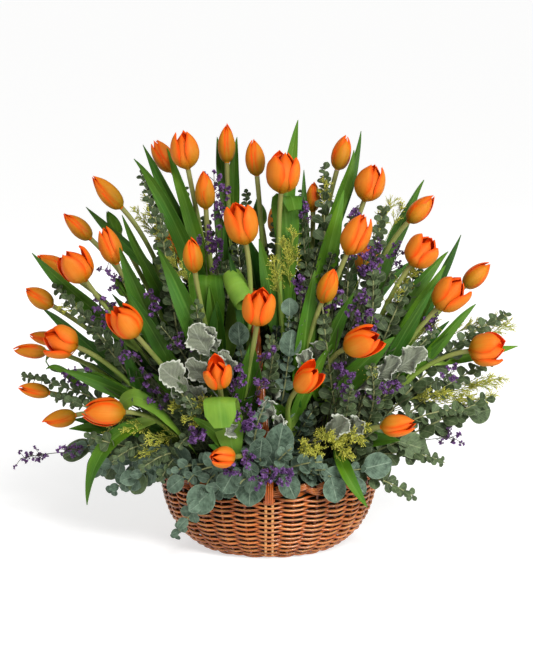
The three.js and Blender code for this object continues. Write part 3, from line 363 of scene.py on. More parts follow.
def carried(tangents, hint=(0, 0, 1)):
    """Two directions square to a curve that turn as little as they can along it."""
    hint = np.array(hint, float)
    if abs(np.dot(unit(tangents[0]), hint)) > NEARLY_ALONG:
        hint = np.array([0.0, -1.0, 0.0])
    firsts = []
    first = hint
    for tangent in tangents:
        first = unit(first - tangent * np.dot(first, tangent))
        firsts.append(first)
    firsts = np.array(firsts)
    return firsts, np.cross(tangents, firsts)


def tube(form, centres, radius, sides, tone):
    """A round rod along its centres."""
    tangents = unit(np.gradient(centres, axis=0))
    first, second = carried(tangents)
    sweep(form, centres, first, second, radius, radius, sides, tone)


print("rods can be open or closed to a ring")

# %% [markdown]
# ## From a form to an object
# The form becomes one mesh in one call, which is much faster than face by face. Its marks go in as
# attributes of its points, where the finish reads them. The object takes the place of the plain solid of
# the same name in the frame.

# %% Pieces
SHARP_EDGE = math.radians(50)


def shape_piece(name, form, material, nodes):
    """Writes a form as an object in metres that stands for its nodes in the frame."""
    points = np.concatenate(form.points) * MM
    faces = np.concatenate(form.faces).tolist() + form.caps
    mesh = bpy.data.meshes.new(name)
    mesh.from_pydata(points.tolist(), [], faces)
    for label, values in (("spot", form.spots), ("grain", form.grains)):
        told = mesh.attributes.new(label, "FLOAT_VECTOR", "POINT")
        told.data.foreach_set("vector", np.concatenate(values).astype(np.float32).ravel())
    mesh.shade_smooth()
    mesh.set_sharp_from_angle(angle=SHARP_EDGE)
    mesh.materials.append(material)
    piece = bpy.data.objects.new(name, mesh)
    bpy.context.scene.collection.objects.link(piece)
    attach(piece, "root")
    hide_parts(*nodes)
    print(name, "has", len(faces), "faces")


print("edges sharper than", round(math.degrees(SHARP_EDGE)), "degrees stay sharp")

# %% [markdown]
# ## Curves
# Stems and leaves follow Bezier curves, as a bent stalk does. Path holds one and answers by the fraction
# of its length, so that leaves can be spaced evenly along it.

# %% Path
class Path:
    """A Bezier curve through space, cut into short steps."""

    STEPS = 160

    def __init__(self, *controls):
        t = np.linspace(0, 1, self.STEPS)[:, None]
        layers = [np.broadcast_to(c, (self.STEPS, 3)) for c in controls]
        while len(layers) > 1:
            layers = [a * (1 - t) + b * t for a, b in zip(layers, layers[1:])]
        self.points = layers[0]
        steps = np.linalg.norm(np.diff(self.points, axis=0), axis=1)
        self.length = steps.sum()
        self.shares = np.concatenate([[0], np.cumsum(steps)]) / self.length

    def at(self, share):
        share = np.asarray(share, float)
        return np.stack([np.interp(share, self.shares, self.points[:, i]) for i in range(3)], -1)

    def direction(self, share):
        share = np.asarray(share, float)
        return unit(self.at(np.minimum(1, share + 0.01)) - self.at(np.maximum(0, share - 0.01)))


def smooth_through(knots, at):
    """A smooth line through [position, value] pairs, read at the given positions."""
    x, y = np.array(knots, float).T
    slope = np.gradient(y, x)
    i = np.clip(np.searchsorted(x, at, side="right") - 1, 0, len(x) - 2)
    width = x[i + 1] - x[i]
    t = (at - x[i]) / width
    return (
        (2 * t**3 - 3 * t**2 + 1) * y[i] + (t**3 - 2 * t**2 + t) * width * slope[i]
        + (3 * t**2 - 2 * t**3) * y[i + 1] + (t**3 - t**2) * width * slope[i + 1]
    )


bend = Path([0, 0, 0], [0, 0, 50], [50, 0, 50])
print("a path that turns a corner of 50 mm is", round(bend.length, 1), "mm long")

# %% [markdown]
# ## Bends
# The solids were bent clear of each other: each stem, leaf and twig was shifted in its middle until
# nothing crossed it. The same shifts are tried here, and the one whose path lies in the frame's own node
# is taken, so every dressed stem is where its solid is.

# %% Follow the frame
SHIFT_STEPS = (7, 14, 22, 32, 44)
SHIFT_WAYS = (
    (0, 1, 0), (0, -1, 0), (1, 0, 0), (-1, 0, 0),
    (0, 0.6, 0.8), (0, -0.6, -0.8), (0.7, 0.7, 0), (-0.7, 0.7, 0),
)
SHIFTS = [np.zeros(3)] + [np.array(way) * step for step in SHIFT_STEPS for way in SHIFT_WAYS]
TRIED_AT = np.linspace(0.15, 0.95, 9)
trees = {}


def tree_of(node):
    if node not in trees:
        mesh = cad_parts[node].data
        points = [vertex.co for vertex in mesh.vertices]
        trees[node] = BVHTree.FromPolygons(points, [tuple(p.vertices) for p in mesh.polygons])
    return trees[node]


def gap_to(node, points):
    """Mean distance in millimetres from points to the surface of a node in the frame."""
    found = [tree_of(node).find_nearest(Vector(p * MM)) for p in points]
    return sum(hit[3] for hit in found) / len(found) / MM


def as_bent(node, make):
    """The path, among all the shifts of make, that lies closest to its solid."""
    paths = [make(shift) for shift in SHIFTS]
    return min(paths, key=lambda path: gap_to(node, path.at(TRIED_AT)))


print(len(SHIFTS), "shifts to try")

# %% [markdown]
# ## Floor and light
# Flowers are photographed on white, in soft light from in front and above. A broad sun does that: its
# wide disc softens the shadows, and it lights the whole floor alike. A large softbox brightens the right
# side, a weak lamp at the left puts a glint on the willow, one behind parts the blooms from the ground,
# and a weak white world fills the shade. The floor is pale grey and glows faintly, so it comes out
# almost white and keeps a soft shadow. The plain view transform shows colours as they are.

# %% Stage
FLOOR_REACH = 40.0
SUN_FROM = (0.7, -1.7, 2.1)
SUN_STRENGTH = 1.75
SUN_DISC = math.radians(18)
WORLD_STRENGTH = 0.24
FLOOR_GLOW = 0.61
LIT_POINT = Vector((0, 0, 0.25))
LAMPS = (
    ("right softbox", (1.5, -1.7, 1.2), 0.9, 44),
    ("left glint", (-1.9, -1.8, 1.3), 0.7, 10),
    ("back fill", (-0.6, 2.3, 1.5), 1.2, 14),
)

scene = bpy.context.scene
scene.view_settings.view_transform = "Standard"
world = bpy.data.worlds.new("soft white")
world.use_nodes = True
sky = world.node_tree.nodes["Background"].inputs
sky["Color"].default_value = (1, 1, 1, 1)
sky["Strength"].default_value = WORLD_STRENGTH
scene.world = world

floor_mesh = bpy.data.meshes.new("floor")
corners = [(-1, -1, 0), (1, -1, 0), (1, 1, 0), (-1, 1, 0)]
corners = [(x * FLOOR_REACH, y * FLOOR_REACH, z) for x, y, z in corners]
floor_mesh.from_pydata(corners, [], [(0, 1, 2, 3)])
floor = bpy.data.objects.new("floor", floor_mesh)
scene.collection.objects.link(floor)
pale = Finish("pale floor")
floor_mesh.materials.append(pale.close(
    Base_Color=rgb(200, 200, 199), Roughness=0.9,
    Emission_Color=(1, 1, 1, 1), Emission_Strength=FLOOR_GLOW,
))
print("a floor", round(2 * FLOOR_REACH), "m wide")


# %% Lamps
def light_up(name, kind, place, size, power):
    """A lamp that looks at the bouquet; a sun's size is the angle of its disc, a lamp's is its edge."""
    lamp = bpy.data.lights.new(name, kind)
    if kind == "SUN":
        lamp.angle = size
    else:
        lamp.size = size
    lamp.energy = power
    holder = bpy.data.objects.new(name, lamp)
    holder.location = place
    holder.rotation_mode = "QUATERNION"
    holder.rotation_quaternion = (LIT_POINT - Vector(place)).to_track_quat("-Z", "Y")
    scene.collection.objects.link(holder)


light_up("sun", "SUN", SUN_FROM, SUN_DISC, SUN_STRENGTH)
for name, place, size, power in LAMPS:
    light_up(name, "AREA", place, size, power)
print("a broad sun,", len(LAMPS), "lamps and a white world")

# %% [markdown]
# ## Varnished willow
# Stained and varnished willow rods are orange brown. Painted shade darkens them underneath and where they
# dip behind a stake, and a painted highlight pales their tops where they bulge. Each rod has its own
# tone, fine grain runs along it, and the varnish is a clear coat with sharp glints. A tone above 1 stands
# for a pale stake, peeled and partly a painted highlight, and one below 0 for a rod in deep shade,
# painted near black. The mark of a rod is above 0 where the highlight is painted and below 0 where the
# shade is painted, and where the shade is painted the coat is left off.

# %% Willow finish
def willow_finish():
    willow = Finish("varnished willow")
    tone = willow.told("spot")[2]
    # Here the grain's third number is the rod's mark: above 0 for a painted highlight, below 0 for
    # painted shade.
    around, long, side = willow.told("grain")
    fibre = willow.noise(willow.place(around * 1.5, long * 0.03, tone * 40), 6, 3)
    patch = willow.noise(willow.place(tone * 30, long * 0.02, around * 0.4), 2.2, 2)
    red = willow.mix(tone, rgb(116, 48, 6), rgb(178, 82, 12))
    worn = willow.mix(patch.between(0.45, 0.75), red, rgb(200, 108, 28))
    colour = willow.mix(fibre.between(0.5, 0.8) * 0.5, worn, rgb(98, 38, 10))
    # Painted highlight: the top of a rod where it bulges is paled, in place of a glint on the varnish.
    colour = willow.mix(side.clamped() * patch.between(0.3, 0.7) * 0.6, colour, rgb(250, 200, 136))
    colour = willow.mix((tone - 1).clamped(), colour, rgb(214, 164, 100))
    # Painted shade under each rod and where it dips behind a stake; the coat is left off there, so it
    # reflects nothing.
    painted_shade = (0 - side).clamped()
    colour = willow.mix(painted_shade * 0.92, colour, rgb(26, 8, 2))
    # A tone below 0 is painted deep shade, near black.
    colour = willow.mix((0 - tone).clamped(), colour, rgb(10, 4, 1))
    return willow.close(
        Base_Color=colour,
        Roughness=0.3 + fibre * 0.2,
        Normal=willow.bump(fibre, 0.0003, 0.3),
        Specular_IOR_Level=0.15,
        Coat_Weight=(1 - painted_shade) * 0.7,
        Coat_Roughness=0.12,
        Coat_IOR=1.5,
    )


WILLOW = willow_finish()
print("finish", WILLOW.name)

# %% [markdown]
# ## The wall of the basket
# Each willow weaver goes in front of one upright stake and behind the next, and the row above does the
# opposite. So a weaver is one closed rod whose distance from the middle of the wall swings once for
# every two stakes. It also runs a little lower in front of a stake than behind the next, which gives the
# zigzag of such a weave. The black gaps between the rods are real holes and no texture, and the stakes
# seen through them are painted in deep shade. In the middle of the front and back, two pale stakes under
# the handle take the place of one; their pale colour is partly peeled willow and partly a painted
# highlight.

# %% Oval and profile
OVAL = 0.8
WALL_PROFILE = ((0, 97), (10, 113), (25, 129), (45, 141), (65, 148.5), (82, 152), (98, 153.5))
WALL_HEIGHT = 98
WALL_MIDDLE = 4.7
STAKES = 28
WEAVERS = 27
WEAVER_RADIUS = 1.6
SWING = 2.9
ZIGZAG = 1.7
STAKE_RADIUS = 1.9
# A tone above 1 for the pale stakes: peeled willow, and partly a painted highlight.
PALE_STAKE_TONE = 1.75
# DEEP is a tone below 0: painted deep shade, near black, for rods that lie in shadow.
DEEP = -0.9
DEEP_SHARES = (0.3, 0.6)
ROD_SIDES = 8


def wall_width(z):
    """Half the width of the basket at a height."""
    heights, widths = np.array(WALL_PROFILE, float).T
    return np.interp(z, heights, widths)


def oval_at(turn, half_width, z, out=0.0):
    """A point on the oval at a height, pushed out square to the oval."""
    turn, half_width, z, out = np.broadcast_arrays(turn, half_width, z, out)
    normal = unit(np.stack([np.cos(turn), np.sin(turn) / OVAL, np.zeros_like(turn)], -1))
    ring = np.stack([half_width * np.cos(turn), half_width * OVAL * np.sin(turn), z], -1)
    return ring + normal * out[..., None], normal


def closed_directions(centres):
    """The direction of a closed line at each of its points."""
    return unit(np.roll(centres, -1, axis=0) - np.roll(centres, 1, axis=0))


print("the basket is", round(2 * wall_width(WALL_HEIGHT)), "mm wide at the top of its weave")


# %% Weave the wall
def weaver_wave(turn, row):
    """1 where a weaver passes in front of a stake and -1 where it passes behind one."""
    wave = np.cos(STAKES / 2 * turn + math.pi * row)
    return np.sign(wave) * np.abs(wave) ** 0.8


def mark_last(form, marks):
    """Marks the piece that was put in last, so that its finish can tell it apart."""
    form.grains[-1] = form.grains[-1].copy()
    form.grains[-1][:, 2] = marks


def paint_rod_light(form, bulge, sides):
    """Marks the last rod: above 0, a painted highlight, on top where it bulges; below 0, painted shade,
    underneath and where it dips.
    """
    around = np.linspace(0, 2 * np.pi, sides, endpoint=False)
    upper = np.clip(np.cos(around + 0.9), 0, 1) ** 1.5
    under = np.clip(np.cos(around - 1.9) + 0.15, 0, 1)
    painted_shade = np.clip(-bulge, 0, 1)[:, None]
    shade = np.clip(under * (0.8 + 0.8 * painted_shade) + 0.65 * painted_shade, 0, 1)
    mark_last(form, (np.clip(bulge, 0, 1)[:, None] * upper - shade).ravel())


def weave_wall(rng):
    form = Form()
    pitch = WALL_HEIGHT / WEAVERS
    turn = np.linspace(0, 2 * np.pi, STAKES * 8, endpoint=False)
    for row in range(WEAVERS):
        wave = weaver_wave(turn, row)
        thick = WEAVER_RADIUS * (1 + rng.uniform(-0.07, 0.07))
        sag = 0.35 * np.sin(3 * turn + rng.uniform(0, 6)) + 0.25 * np.sin(11 * turn + rng.uniform(0, 6))
        height = np.maximum(pitch * (row + 0.5) - ZIGZAG * wave + sag, WEAVER_RADIUS + 0.3)
        centres, out = oval_at(turn, wall_width(height) - WALL_MIDDLE, height, SWING * wave)
        along = closed_directions(centres)
        lean = unit(np.cross(along, out))
        outward = np.cross(lean, along)
        sweep(form, centres, outward, lean, thick, thick * 1.12, ROD_SIDES, rng.random(), closed=True)
        # The weaver gets a painted highlight where it passes in front of a stake and painted shade where
        # it passes behind.
        paint_rod_light(form, wave + 0.2, ROD_SIDES)
    for stake in range(STAKES):
        if stake % (STAKES // 2) == STAKES // 4:
            continue
        angle = 2 * np.pi * stake / STAKES
        z = np.linspace(2.4, WALL_HEIGHT + 6, 14)
        centres, _ = oval_at(angle, wall_width(np.minimum(z, WALL_HEIGHT)) - WALL_MIDDLE, z)
        # The stakes show only through the gaps, so they get painted deep shade.
        tube(form, centres, STAKE_RADIUS, ROD_SIDES, DEEP * rng.uniform(*DEEP_SHARES))
    return form


random_willow = random.Random(3)
shape_piece("basket_wall", weave_wall(random_willow), WILLOW, ["basket_wall"])

# %% [markdown]
# ## The bottom
# The bottom is woven too: fourteen rods cross in the middle and spread like spokes, and thin weavers go
# round, in front of one spoke and behind the next. It is hidden from the front, but a basket is picked up
# and turned over.

# %% Weave the bottom
BASE_HALF_WIDTH = 87
BASE_ROD = 2.2
BASE_RINGS = 13


def weave_base(rng):
    form = Form()
    height = BASE_ROD + 1.2
    ends = np.array([-1, 1])
    share = np.linspace(-1, 1, 9)
    for spoke in range(STAKES // 2):
        angle = 2 * np.pi * spoke / STAKES
        centres = np.stack([
            np.interp(share, ends, ends * BASE_HALF_WIDTH * math.cos(angle)),
            np.interp(share, ends, ends * BASE_HALF_WIDTH * OVAL * math.sin(angle)),
            np.full_like(share, height),
        ], -1)
        tube(form, centres, BASE_ROD * 0.8, ROD_SIDES, rng.random())
    turn = np.linspace(0, 2 * np.pi, STAKES * 6, endpoint=False)
    for ring in range(BASE_RINGS):
        reach = BASE_HALF_WIDTH * (ring + 1.6) / (BASE_RINGS + 1.2)
        wave = 1.1 * np.cos(STAKES / 2 * turn + math.pi * ring)
        centres, out = oval_at(turn, reach, height + wave)
        along = closed_directions(centres)
        up = unit(np.cross(along, out))
        sweep(form, centres, out, up, BASE_ROD * 1.15, BASE_ROD, ROD_SIDES, rng.random(), closed=True)
    return form


shape_piece("basket_base", weave_base(random_willow), WILLOW, ["basket_base"])

# %% [markdown]
# ## The border
# Above the wall the stakes are plaited into a thick edge of three strands. Along the edge each strand
# swings up and down once while it swings in and out twice, and the three are a third of a wave apart.
# Each strand is four thin rods side by side. A core painted in deep shade, near black, closes the gaps
# inside.

# %% Plait the border
BORDER_HEIGHT = 22
BORDER_DEPTH = 17
BORDER_INSET = 4.5
BORDER_HALF_WIDTH = WALL_PROFILE[-1][1] - BORDER_INSET
BORDER_FOOT = WALL_HEIGHT + 0.4
BORDER_MIDDLE = BORDER_FOOT + BORDER_HEIGHT / 2
BORDER_WAVES = 11
STRANDS = 3
RODS_IN_STRAND = 4
PLAIT_ROD = 1.35
PLAIT_RISE = 5.2
PLAIT_DEPTH = 4.6
ROD_PITCH = PLAIT_ROD * 2.15
CORE_WIDE = 2.0
CORE_HIGH = 3.6


def plait_border(rng):
    form = Form()
    turn = np.linspace(0, 2 * np.pi, BORDER_WAVES * 26, endpoint=False)
    for strand in range(STRANDS):
        phase = BORDER_WAVES * turn + 2 * np.pi * strand / STRANDS
        rise = PLAIT_RISE * np.sin(phase)
        depth = PLAIT_DEPTH * np.sin(2 * phase)
        for rod in range(RODS_IN_STRAND):
            place = rod - (RODS_IN_STRAND - 1) / 2
            steep = np.cos(phase)
            centres, out = oval_at(
                turn + 0.004 * place * steep, BORDER_HALF_WIDTH,
                BORDER_MIDDLE + rise + place * ROD_PITCH * (1 - 0.25 * np.abs(steep)),
                depth - 0.5 * abs(place),
            )
            along = closed_directions(centres)
            up = unit(np.cross(along, out))
            out = np.cross(up, along)
            sweep(form, centres, out, up, PLAIT_ROD, PLAIT_ROD, ROD_SIDES, rng.random(), closed=True)
            # The plait's rods get a painted highlight where they swing out and painted shade where they
            # swing in.
            paint_rod_light(form, 0.7 * depth / PLAIT_DEPTH, ROD_SIDES)
    core, out = oval_at(turn, BORDER_HALF_WIDTH, BORDER_MIDDLE)
    up = np.broadcast_to(np.array([0.0, 0.0, 1.0]), core.shape)
    # The core is painted in deep shade.
    sweep(form, core, out, up, CORE_WIDE, CORE_HIGH, ROD_SIDES, DEEP, closed=True)
    return form


shape_piece("basket_border", plait_border(random_willow), WILLOW, ["basket_border"])

# %% [markdown]
# ## The handle
# The hoop crosses the short axis of the basket. Rods are twisted round it like a rope, and at each end
# four of them come down side by side over the border and are bound into the weave.

# %% Twist the handle
HANDLE_RISE = 228
HANDLE_RADIUS = 6.2
HANDLE_LEAN = -22
HANDLE_STRANDS = 5
HANDLE_TURNS = 7
HANDLE_ROD = 2.7
CANES = 4
CANE_RADIUS = 1.4
PALE_STAKE_ASIDE = 4.5
PALE_STAKE_RADIUS = 2.1
KNOT_WRAPS = 2
border_top = BORDER_FOOT + BORDER_HEIGHT
border_reach = BORDER_HALF_WIDTH * OVAL


def handle_line(share):
    """The middle of the hoop, from its front foot to its back foot."""
    turn = np.pi * share
    return np.stack([
        HANDLE_LEAN * np.sin(turn),
        -border_reach * np.cos(turn),
        border_top + HANDLE_RADIUS + HANDLE_RISE * np.sin(turn),
    ], -1)


def cane_end(side, x, rng):
    """One cane from the foot of the hoop over the border and down the front of the weave."""
    over = border_reach + BORDER_DEPTH / 2 + CANE_RADIUS + 0.8
    knots = [
        (border_reach - 5, border_top + 12), (border_reach + 2, border_top + 7),
        (border_reach + 8, border_top + 2), (over + 0.4, border_top - 6), (over, border_top - 14),
        (over - 1.5, WALL_HEIGHT + 1), (over - 5, WALL_HEIGHT - 6),
    ]
    at = np.linspace(0, len(knots) - 1, 24)
    y = smooth_through([(i, k[0]) for i, k in enumerate(knots)], at)
    z = smooth_through([(i, k[1]) for i, k in enumerate(knots)], at)
    drift = rng.uniform(-0.3, 0.3)
    return np.stack([x + drift * at / len(knots), side * y, z], -1)


def twist_handle(rng):
    form = Form()
    share = np.linspace(0, 1, 260)
    centres = handle_line(share)
    along = unit(np.gradient(centres, axis=0))
    first, second = carried(along, hint=(1, 0, 0))
    ends = np.minimum(1, np.minimum(share, 1 - share) * 30 + 0.55)
    for strand in range(HANDLE_STRANDS):
        turn = 2 * np.pi * (HANDLE_TURNS * share + strand / HANDLE_STRANDS)
        away = (HANDLE_RADIUS * 0.57 * ends)[:, None]
        line = centres + first * away * np.cos(turn)[:, None] + second * away * np.sin(turn)[:, None]
        # The hoop's strands get painted deep shade, dark brown, darker than the rest of the willow.
        tube(form, line, HANDLE_ROD, ROD_SIDES, DEEP * rng.uniform(*DEEP_SHARES))
    for side in (-1, 1):
        for cane in range(CANES):
            x = (cane - (CANES - 1) / 2) * CANE_RADIUS * 2.05
            tube(form, cane_end(side, x, rng), CANE_RADIUS, ROD_SIDES, rng.random() * 0.4 + 0.6)
        bind(form, side, rng)
    return form


def bind(form, side, rng):
    """The knot that ends the canes, and the two pale stakes that run down the weave below it."""
    over = border_reach + BORDER_DEPTH / 2 - 3
    turn = np.linspace(0, 2 * np.pi, 20, endpoint=False)
    for wrap in range(KNOT_WRAPS):
        z = WALL_HEIGHT - 1 - wrap * 2.4
        ring = np.stack([
            7.0 * np.cos(turn), side * (over - 1.2 * wrap + 3.0 * np.sin(turn)), z + 0.8 * np.cos(turn),
        ], -1)
        along = closed_directions(ring)
        first, second = carried(along)
        sweep(form, ring, first, second, 1.2, 1.2, 6, rng.random(), closed=True)
    for x in (-PALE_STAKE_ASIDE, PALE_STAKE_ASIDE):
        z = np.linspace(WALL_HEIGHT - 3, 4, 40)
        y = (wall_width(z) - WALL_MIDDLE) * OVAL + 0.6
        stake = np.stack([np.full_like(z, x), side * y, z], -1)
        # Their pale colour is peeled willow and partly a painted highlight.
        tube(form, stake, PALE_STAKE_RADIUS, ROD_SIDES, PALE_STAKE_TONE)


shape_piece("basket_handle", twist_handle(random_willow), WILLOW, ["basket_handle"])

# %% [markdown]
# ## What holds the water
# A thin tray keeps the willow dry, and a block of wet foam stands in it and holds every stem. The
# foam is hardly seen, but it is what makes the arrangement stand. Its top was cut with a knife, so it is
# almost flat with a rough edge. The tray is dark and the foam green, but both are painted darker than
# they
# are, almost black: painted shade, so that the gaps in the weave and between the stems look dark.

# %% Tray and foam
TRAY_TOP = 92
TRAY_FLOOR = 8
TRAY_THICKNESS = 2
TRAY_INSET = 2.6
FOAM_TOP = 104
FOAM_FLOOR = 11
FOAM_INSET = 5.4
FOAM_CUT = ((FOAM_TOP - 3, 8), (FOAM_TOP, 12), (FOAM_TOP, 40), (FOAM_TOP, 80), (FOAM_TOP, 115))
FOAM_ROUGH = 0.8
LINER_HEIGHTS = (26, 45, 68, TRAY_TOP)
INSIDE = ((0, 88), (45, 132), (98, 144.5))
LINER_SIDES = 96


def inside_ring(z, inset):
    """A ring of points inside the wall at a height, some way in from it."""
    heights, widths = np.array(INSIDE, float).T
    turn = np.linspace(0, 2 * np.pi, LINER_SIDES, endpoint=False)
    return oval_at(turn, np.interp(z, heights, widths) - inset, z)[0]


def lofted(form, rings):
    """A skin over rings of equal length, closed at both ends."""
    points = np.array(rings)
    rows, sides = points.shape[:2]
    share = np.broadcast_to(np.linspace(0, 1, rows)[:, None], (rows, sides))
    blank = np.zeros((rows, sides))
    spots = np.stack([blank, share, blank + 0.5], -1)
    caps = [list(range(sides))[::-1], list(range((rows - 1) * sides, rows * sides))]
    form.put(points, grid_faces(rows, sides, True), spots, np.stack([blank] * 3, -1), caps)


def tray_finish():
    tray = Finish("dark tray")
    speck = tray.noise(tray.add("ShaderNodeTexCoord", {}, {})["Object"], 90, 3)
    # Painted shade: the tray is near black, so it looks dark through the weave.
    colour = tray.mix(speck, rgb(8, 10, 8), rgb(18, 22, 18))
    return tray.close(Base_Color=colour, Roughness=0.7 + speck * 0.2)


def foam_finish():
    foam = Finish("wet foam")
    room = foam.add("ShaderNodeTexCoord", {}, {})["Object"]
    cells = foam.noise(room, 900, 2)
    damp = foam.noise(room, 30, 3)
    # The foam's green is darkened almost to black as painted shade.
    colour = foam.mix(damp, rgb(16, 30, 16), rgb(34, 54, 30))
    return foam.close(Base_Color=colour, Roughness=0.95, Normal=foam.bump(cells, 0.0006, 0.8))


print("the tray is", TRAY_TOP - TRAY_FLOOR, "mm high")

# %% Put them in
tray_form = Form()
heights = (TRAY_FLOOR, *LINER_HEIGHTS)
outer = [inside_ring(z, TRAY_INSET) for z in heights]
lining = TRAY_INSET + TRAY_THICKNESS
inner = [inside_ring(max(z, TRAY_FLOOR + TRAY_THICKNESS), lining) for z in heights]
lofted(tray_form, outer + inner[::-1])
shape_piece("water_tray", tray_form, tray_finish(), ["water_tray"])

foam_form = Form()
rings = [inside_ring(z, FOAM_INSET) for z in (FOAM_FLOOR, *LINER_HEIGHTS)]
rough = np.random.default_rng(5)
for z, inset in FOAM_CUT:
    ring = inside_ring(min(z, WALL_HEIGHT), inset)
    ring[:, 2] = z + rough.uniform(-FOAM_ROUGH, FOAM_ROUGH, len(ring))
    rings.append(ring)
lofted(foam_form, rings)
shape_piece("floral_foam", foam_form, foam_finish(), ["floral_foam"])

# %% [markdown]
# ## The plan of the bouquet
# This is the same plan that the solids were made from. A bunch of stems stands in one hole of the foam;
# STUBS says where. PLAN gives the tulips in the order of their numbers: the bunch, the base and tip of
# the head in the view, how far back it stands, how far its tip leans back, its width and its form.

# %% Tulips in the plan
STUB_TOP = FOAM_TOP + 9
CLEARANCE = 0.45
STUBS = {
    "left_low": ((-92, -20), 11), "left_high": ((-62, 22), 13), "mid_left": ((-34, -34), 13),
    "mid_right": ((34, -34), 13), "right": ((76, 4), 12), "back": ((6, 58), 11),
    "eucalyptus_left": ((-98, 22), 6), "eucalyptus_right": ((104, -26), 6),
    "eucalyptus_back": ((-40, 68), 6), "silver": ((0, -78), 7), "statice_left": ((-66, -56), 6),
    "statice_right": ((68, -52), 6), "solidago": ((48, 52), 6), "dusty": ((0, 6), 6),
}
PLAN = (
    ("mid_left", (188, 169), (181, 130), 45, 0, 38, "half"),
    ("back", (227, 163), (226, 123), 80, 8, 24, "bud"),
    ("back", (257, 176), (253, 137), 70, 5, 27, "bud"),
    ("mid_right", (281, 193), (285, 151), 35, 0, 47, "open"),
    ("mid_right", (337, 170), (347, 135), 80, 5, 27, "bud"),
    ("mid_right", (364, 201), (376, 165), 60, 0, 40, "half"),
    ("right", (408, 222), (435, 195), 70, 0, 27, "bud"),
    ("right", (411, 265), (432, 238), 20, -5, 45, "open"),
    ("right", (464, 287), (490, 263), 60, 5, 27, "bud"),
    ("right", (437, 308), (463, 280), 0, -10, 45, "open"),
    ("right", (469, 351), (505, 347), 0, -10, 48, "open"),
    ("right", (381, 427), (416, 423), -10, -15, 30, "half"),
    ("right", (345, 349), (381, 335), 0, -25, 42, "open"),
    ("mid_right", (297, 390), (318, 368), 0, -25, 33, "open"),
    ("mid_right", (322, 302), (335, 269), 10, -10, 27, "bud"),
    ("mid_right", (347, 254), (366, 215), 20, -5, 37, "half"),
    ("mid_right", (313, 212), (313, 181), 105, 15, 20, "bud"),
    ("mid_left", (257, 325), (260, 288), 0, -15, 44, "open"),
    ("mid_left", (220, 387), (215, 360), -5, -25, 36, "open"),
    ("mid_left", (233, 457), (211, 457), -10, -30, 28, "half"),
    ("mid_left", (195, 272), (190, 237), 15, -8, 26, "bud"),
    ("mid_left", (206, 209), (204, 170), 50, 0, 27, "bud"),
    ("mid_left", (246, 244), (236, 201), 10, -8, 45, "open"),
    ("left_high", (122, 208), (92, 176), 50, 0, 27, "bud"),
    ("left_high", (91, 239), (64, 213), 90, 5, 25, "bud"),
    ("left_high", (117, 264), (102, 227), 45, 0, 30, "half"),
    ("left_high", (120, 236), (107, 211), 100, 0, 18, "green"),
    ("left_high", (86, 281), (65, 251), 15, -8, 47, "open"),
    ("left_high", (53, 306), (25, 289), 40, 0, 27, "bud"),
    ("left_high", (137, 336), (113, 307), 0, -10, 45, "open"),
    ("left_low", (77, 347), (44, 335), 0, -10, 46, "open"),
    ("left_low", (47, 352), (12, 350), 50, 0, 21, "bud"),
    ("left_low", (60, 341), (29, 335), 90, 10, 20, "bud"),
    ("left_low", (50, 393), (18, 387), 35, 0, 21, "bud"),
    ("left_low", (76, 415), (42, 423), 20, -10, 25, "bud"),
    ("left_low", (125, 412), (81, 412), -5, -10, 38, "half"),
    ("left_high", (127, 296), (115, 277), 75, 0, 18, "green"),
    ("back", (262, 226), (256, 198), 125, 15, 20, "green"),
    ("mid_left", (173, 172), (154, 140), 85, 10, 28, "half"),
    ("left_high", (70, 275), (37, 254), 75, 5, 26, "bud"),
    ("back", (180, 262), (160, 232), 215, 25, 36, "half"),
    ("back", (278, 236), (284, 203), 225, 35, 40, "open"),
    ("back", (358, 270), (380, 242), 205, 25, 30, "half"),
)
TULIPS = [("tulip_%02d" % (number + 1), *row) for number, row in enumerate(PLAN)]


def head_ends(tulip):
    _, _, base, tip, back, lean, _, _ = tulip
    depth = front_depth(*base) + back
    return seen_at(*base, depth), seen_at(*tip, depth + lean)


def stub_point(name, z):
    return np.array([*STUBS[name][0], z], float)


def crossways(direction, hint):
    """Two directions square to a given one; the first is as near to hint as can be."""
    hint = np.asarray(hint, float)
    first = unit(hint - direction * np.sum(hint * direction, axis=-1, keepdims=True))
    return first, np.cross(direction, first)


print(len(TULIPS), "tulips planned")

# %% [markdown]
# ## Petals
# A tulip has six petals in two rings of three. Each is a cupped blade, broad below its middle and drawn
# to a blunt tip. In a bud they close over each other; when the bloom opens, the red orange inside shows.
# A petal is a grid: across it runs an angle round the bloom, along it the height. Petals are satin, with
# fine lines from base to tip, amber outside, olive at the base, and redder along the edges and inside.

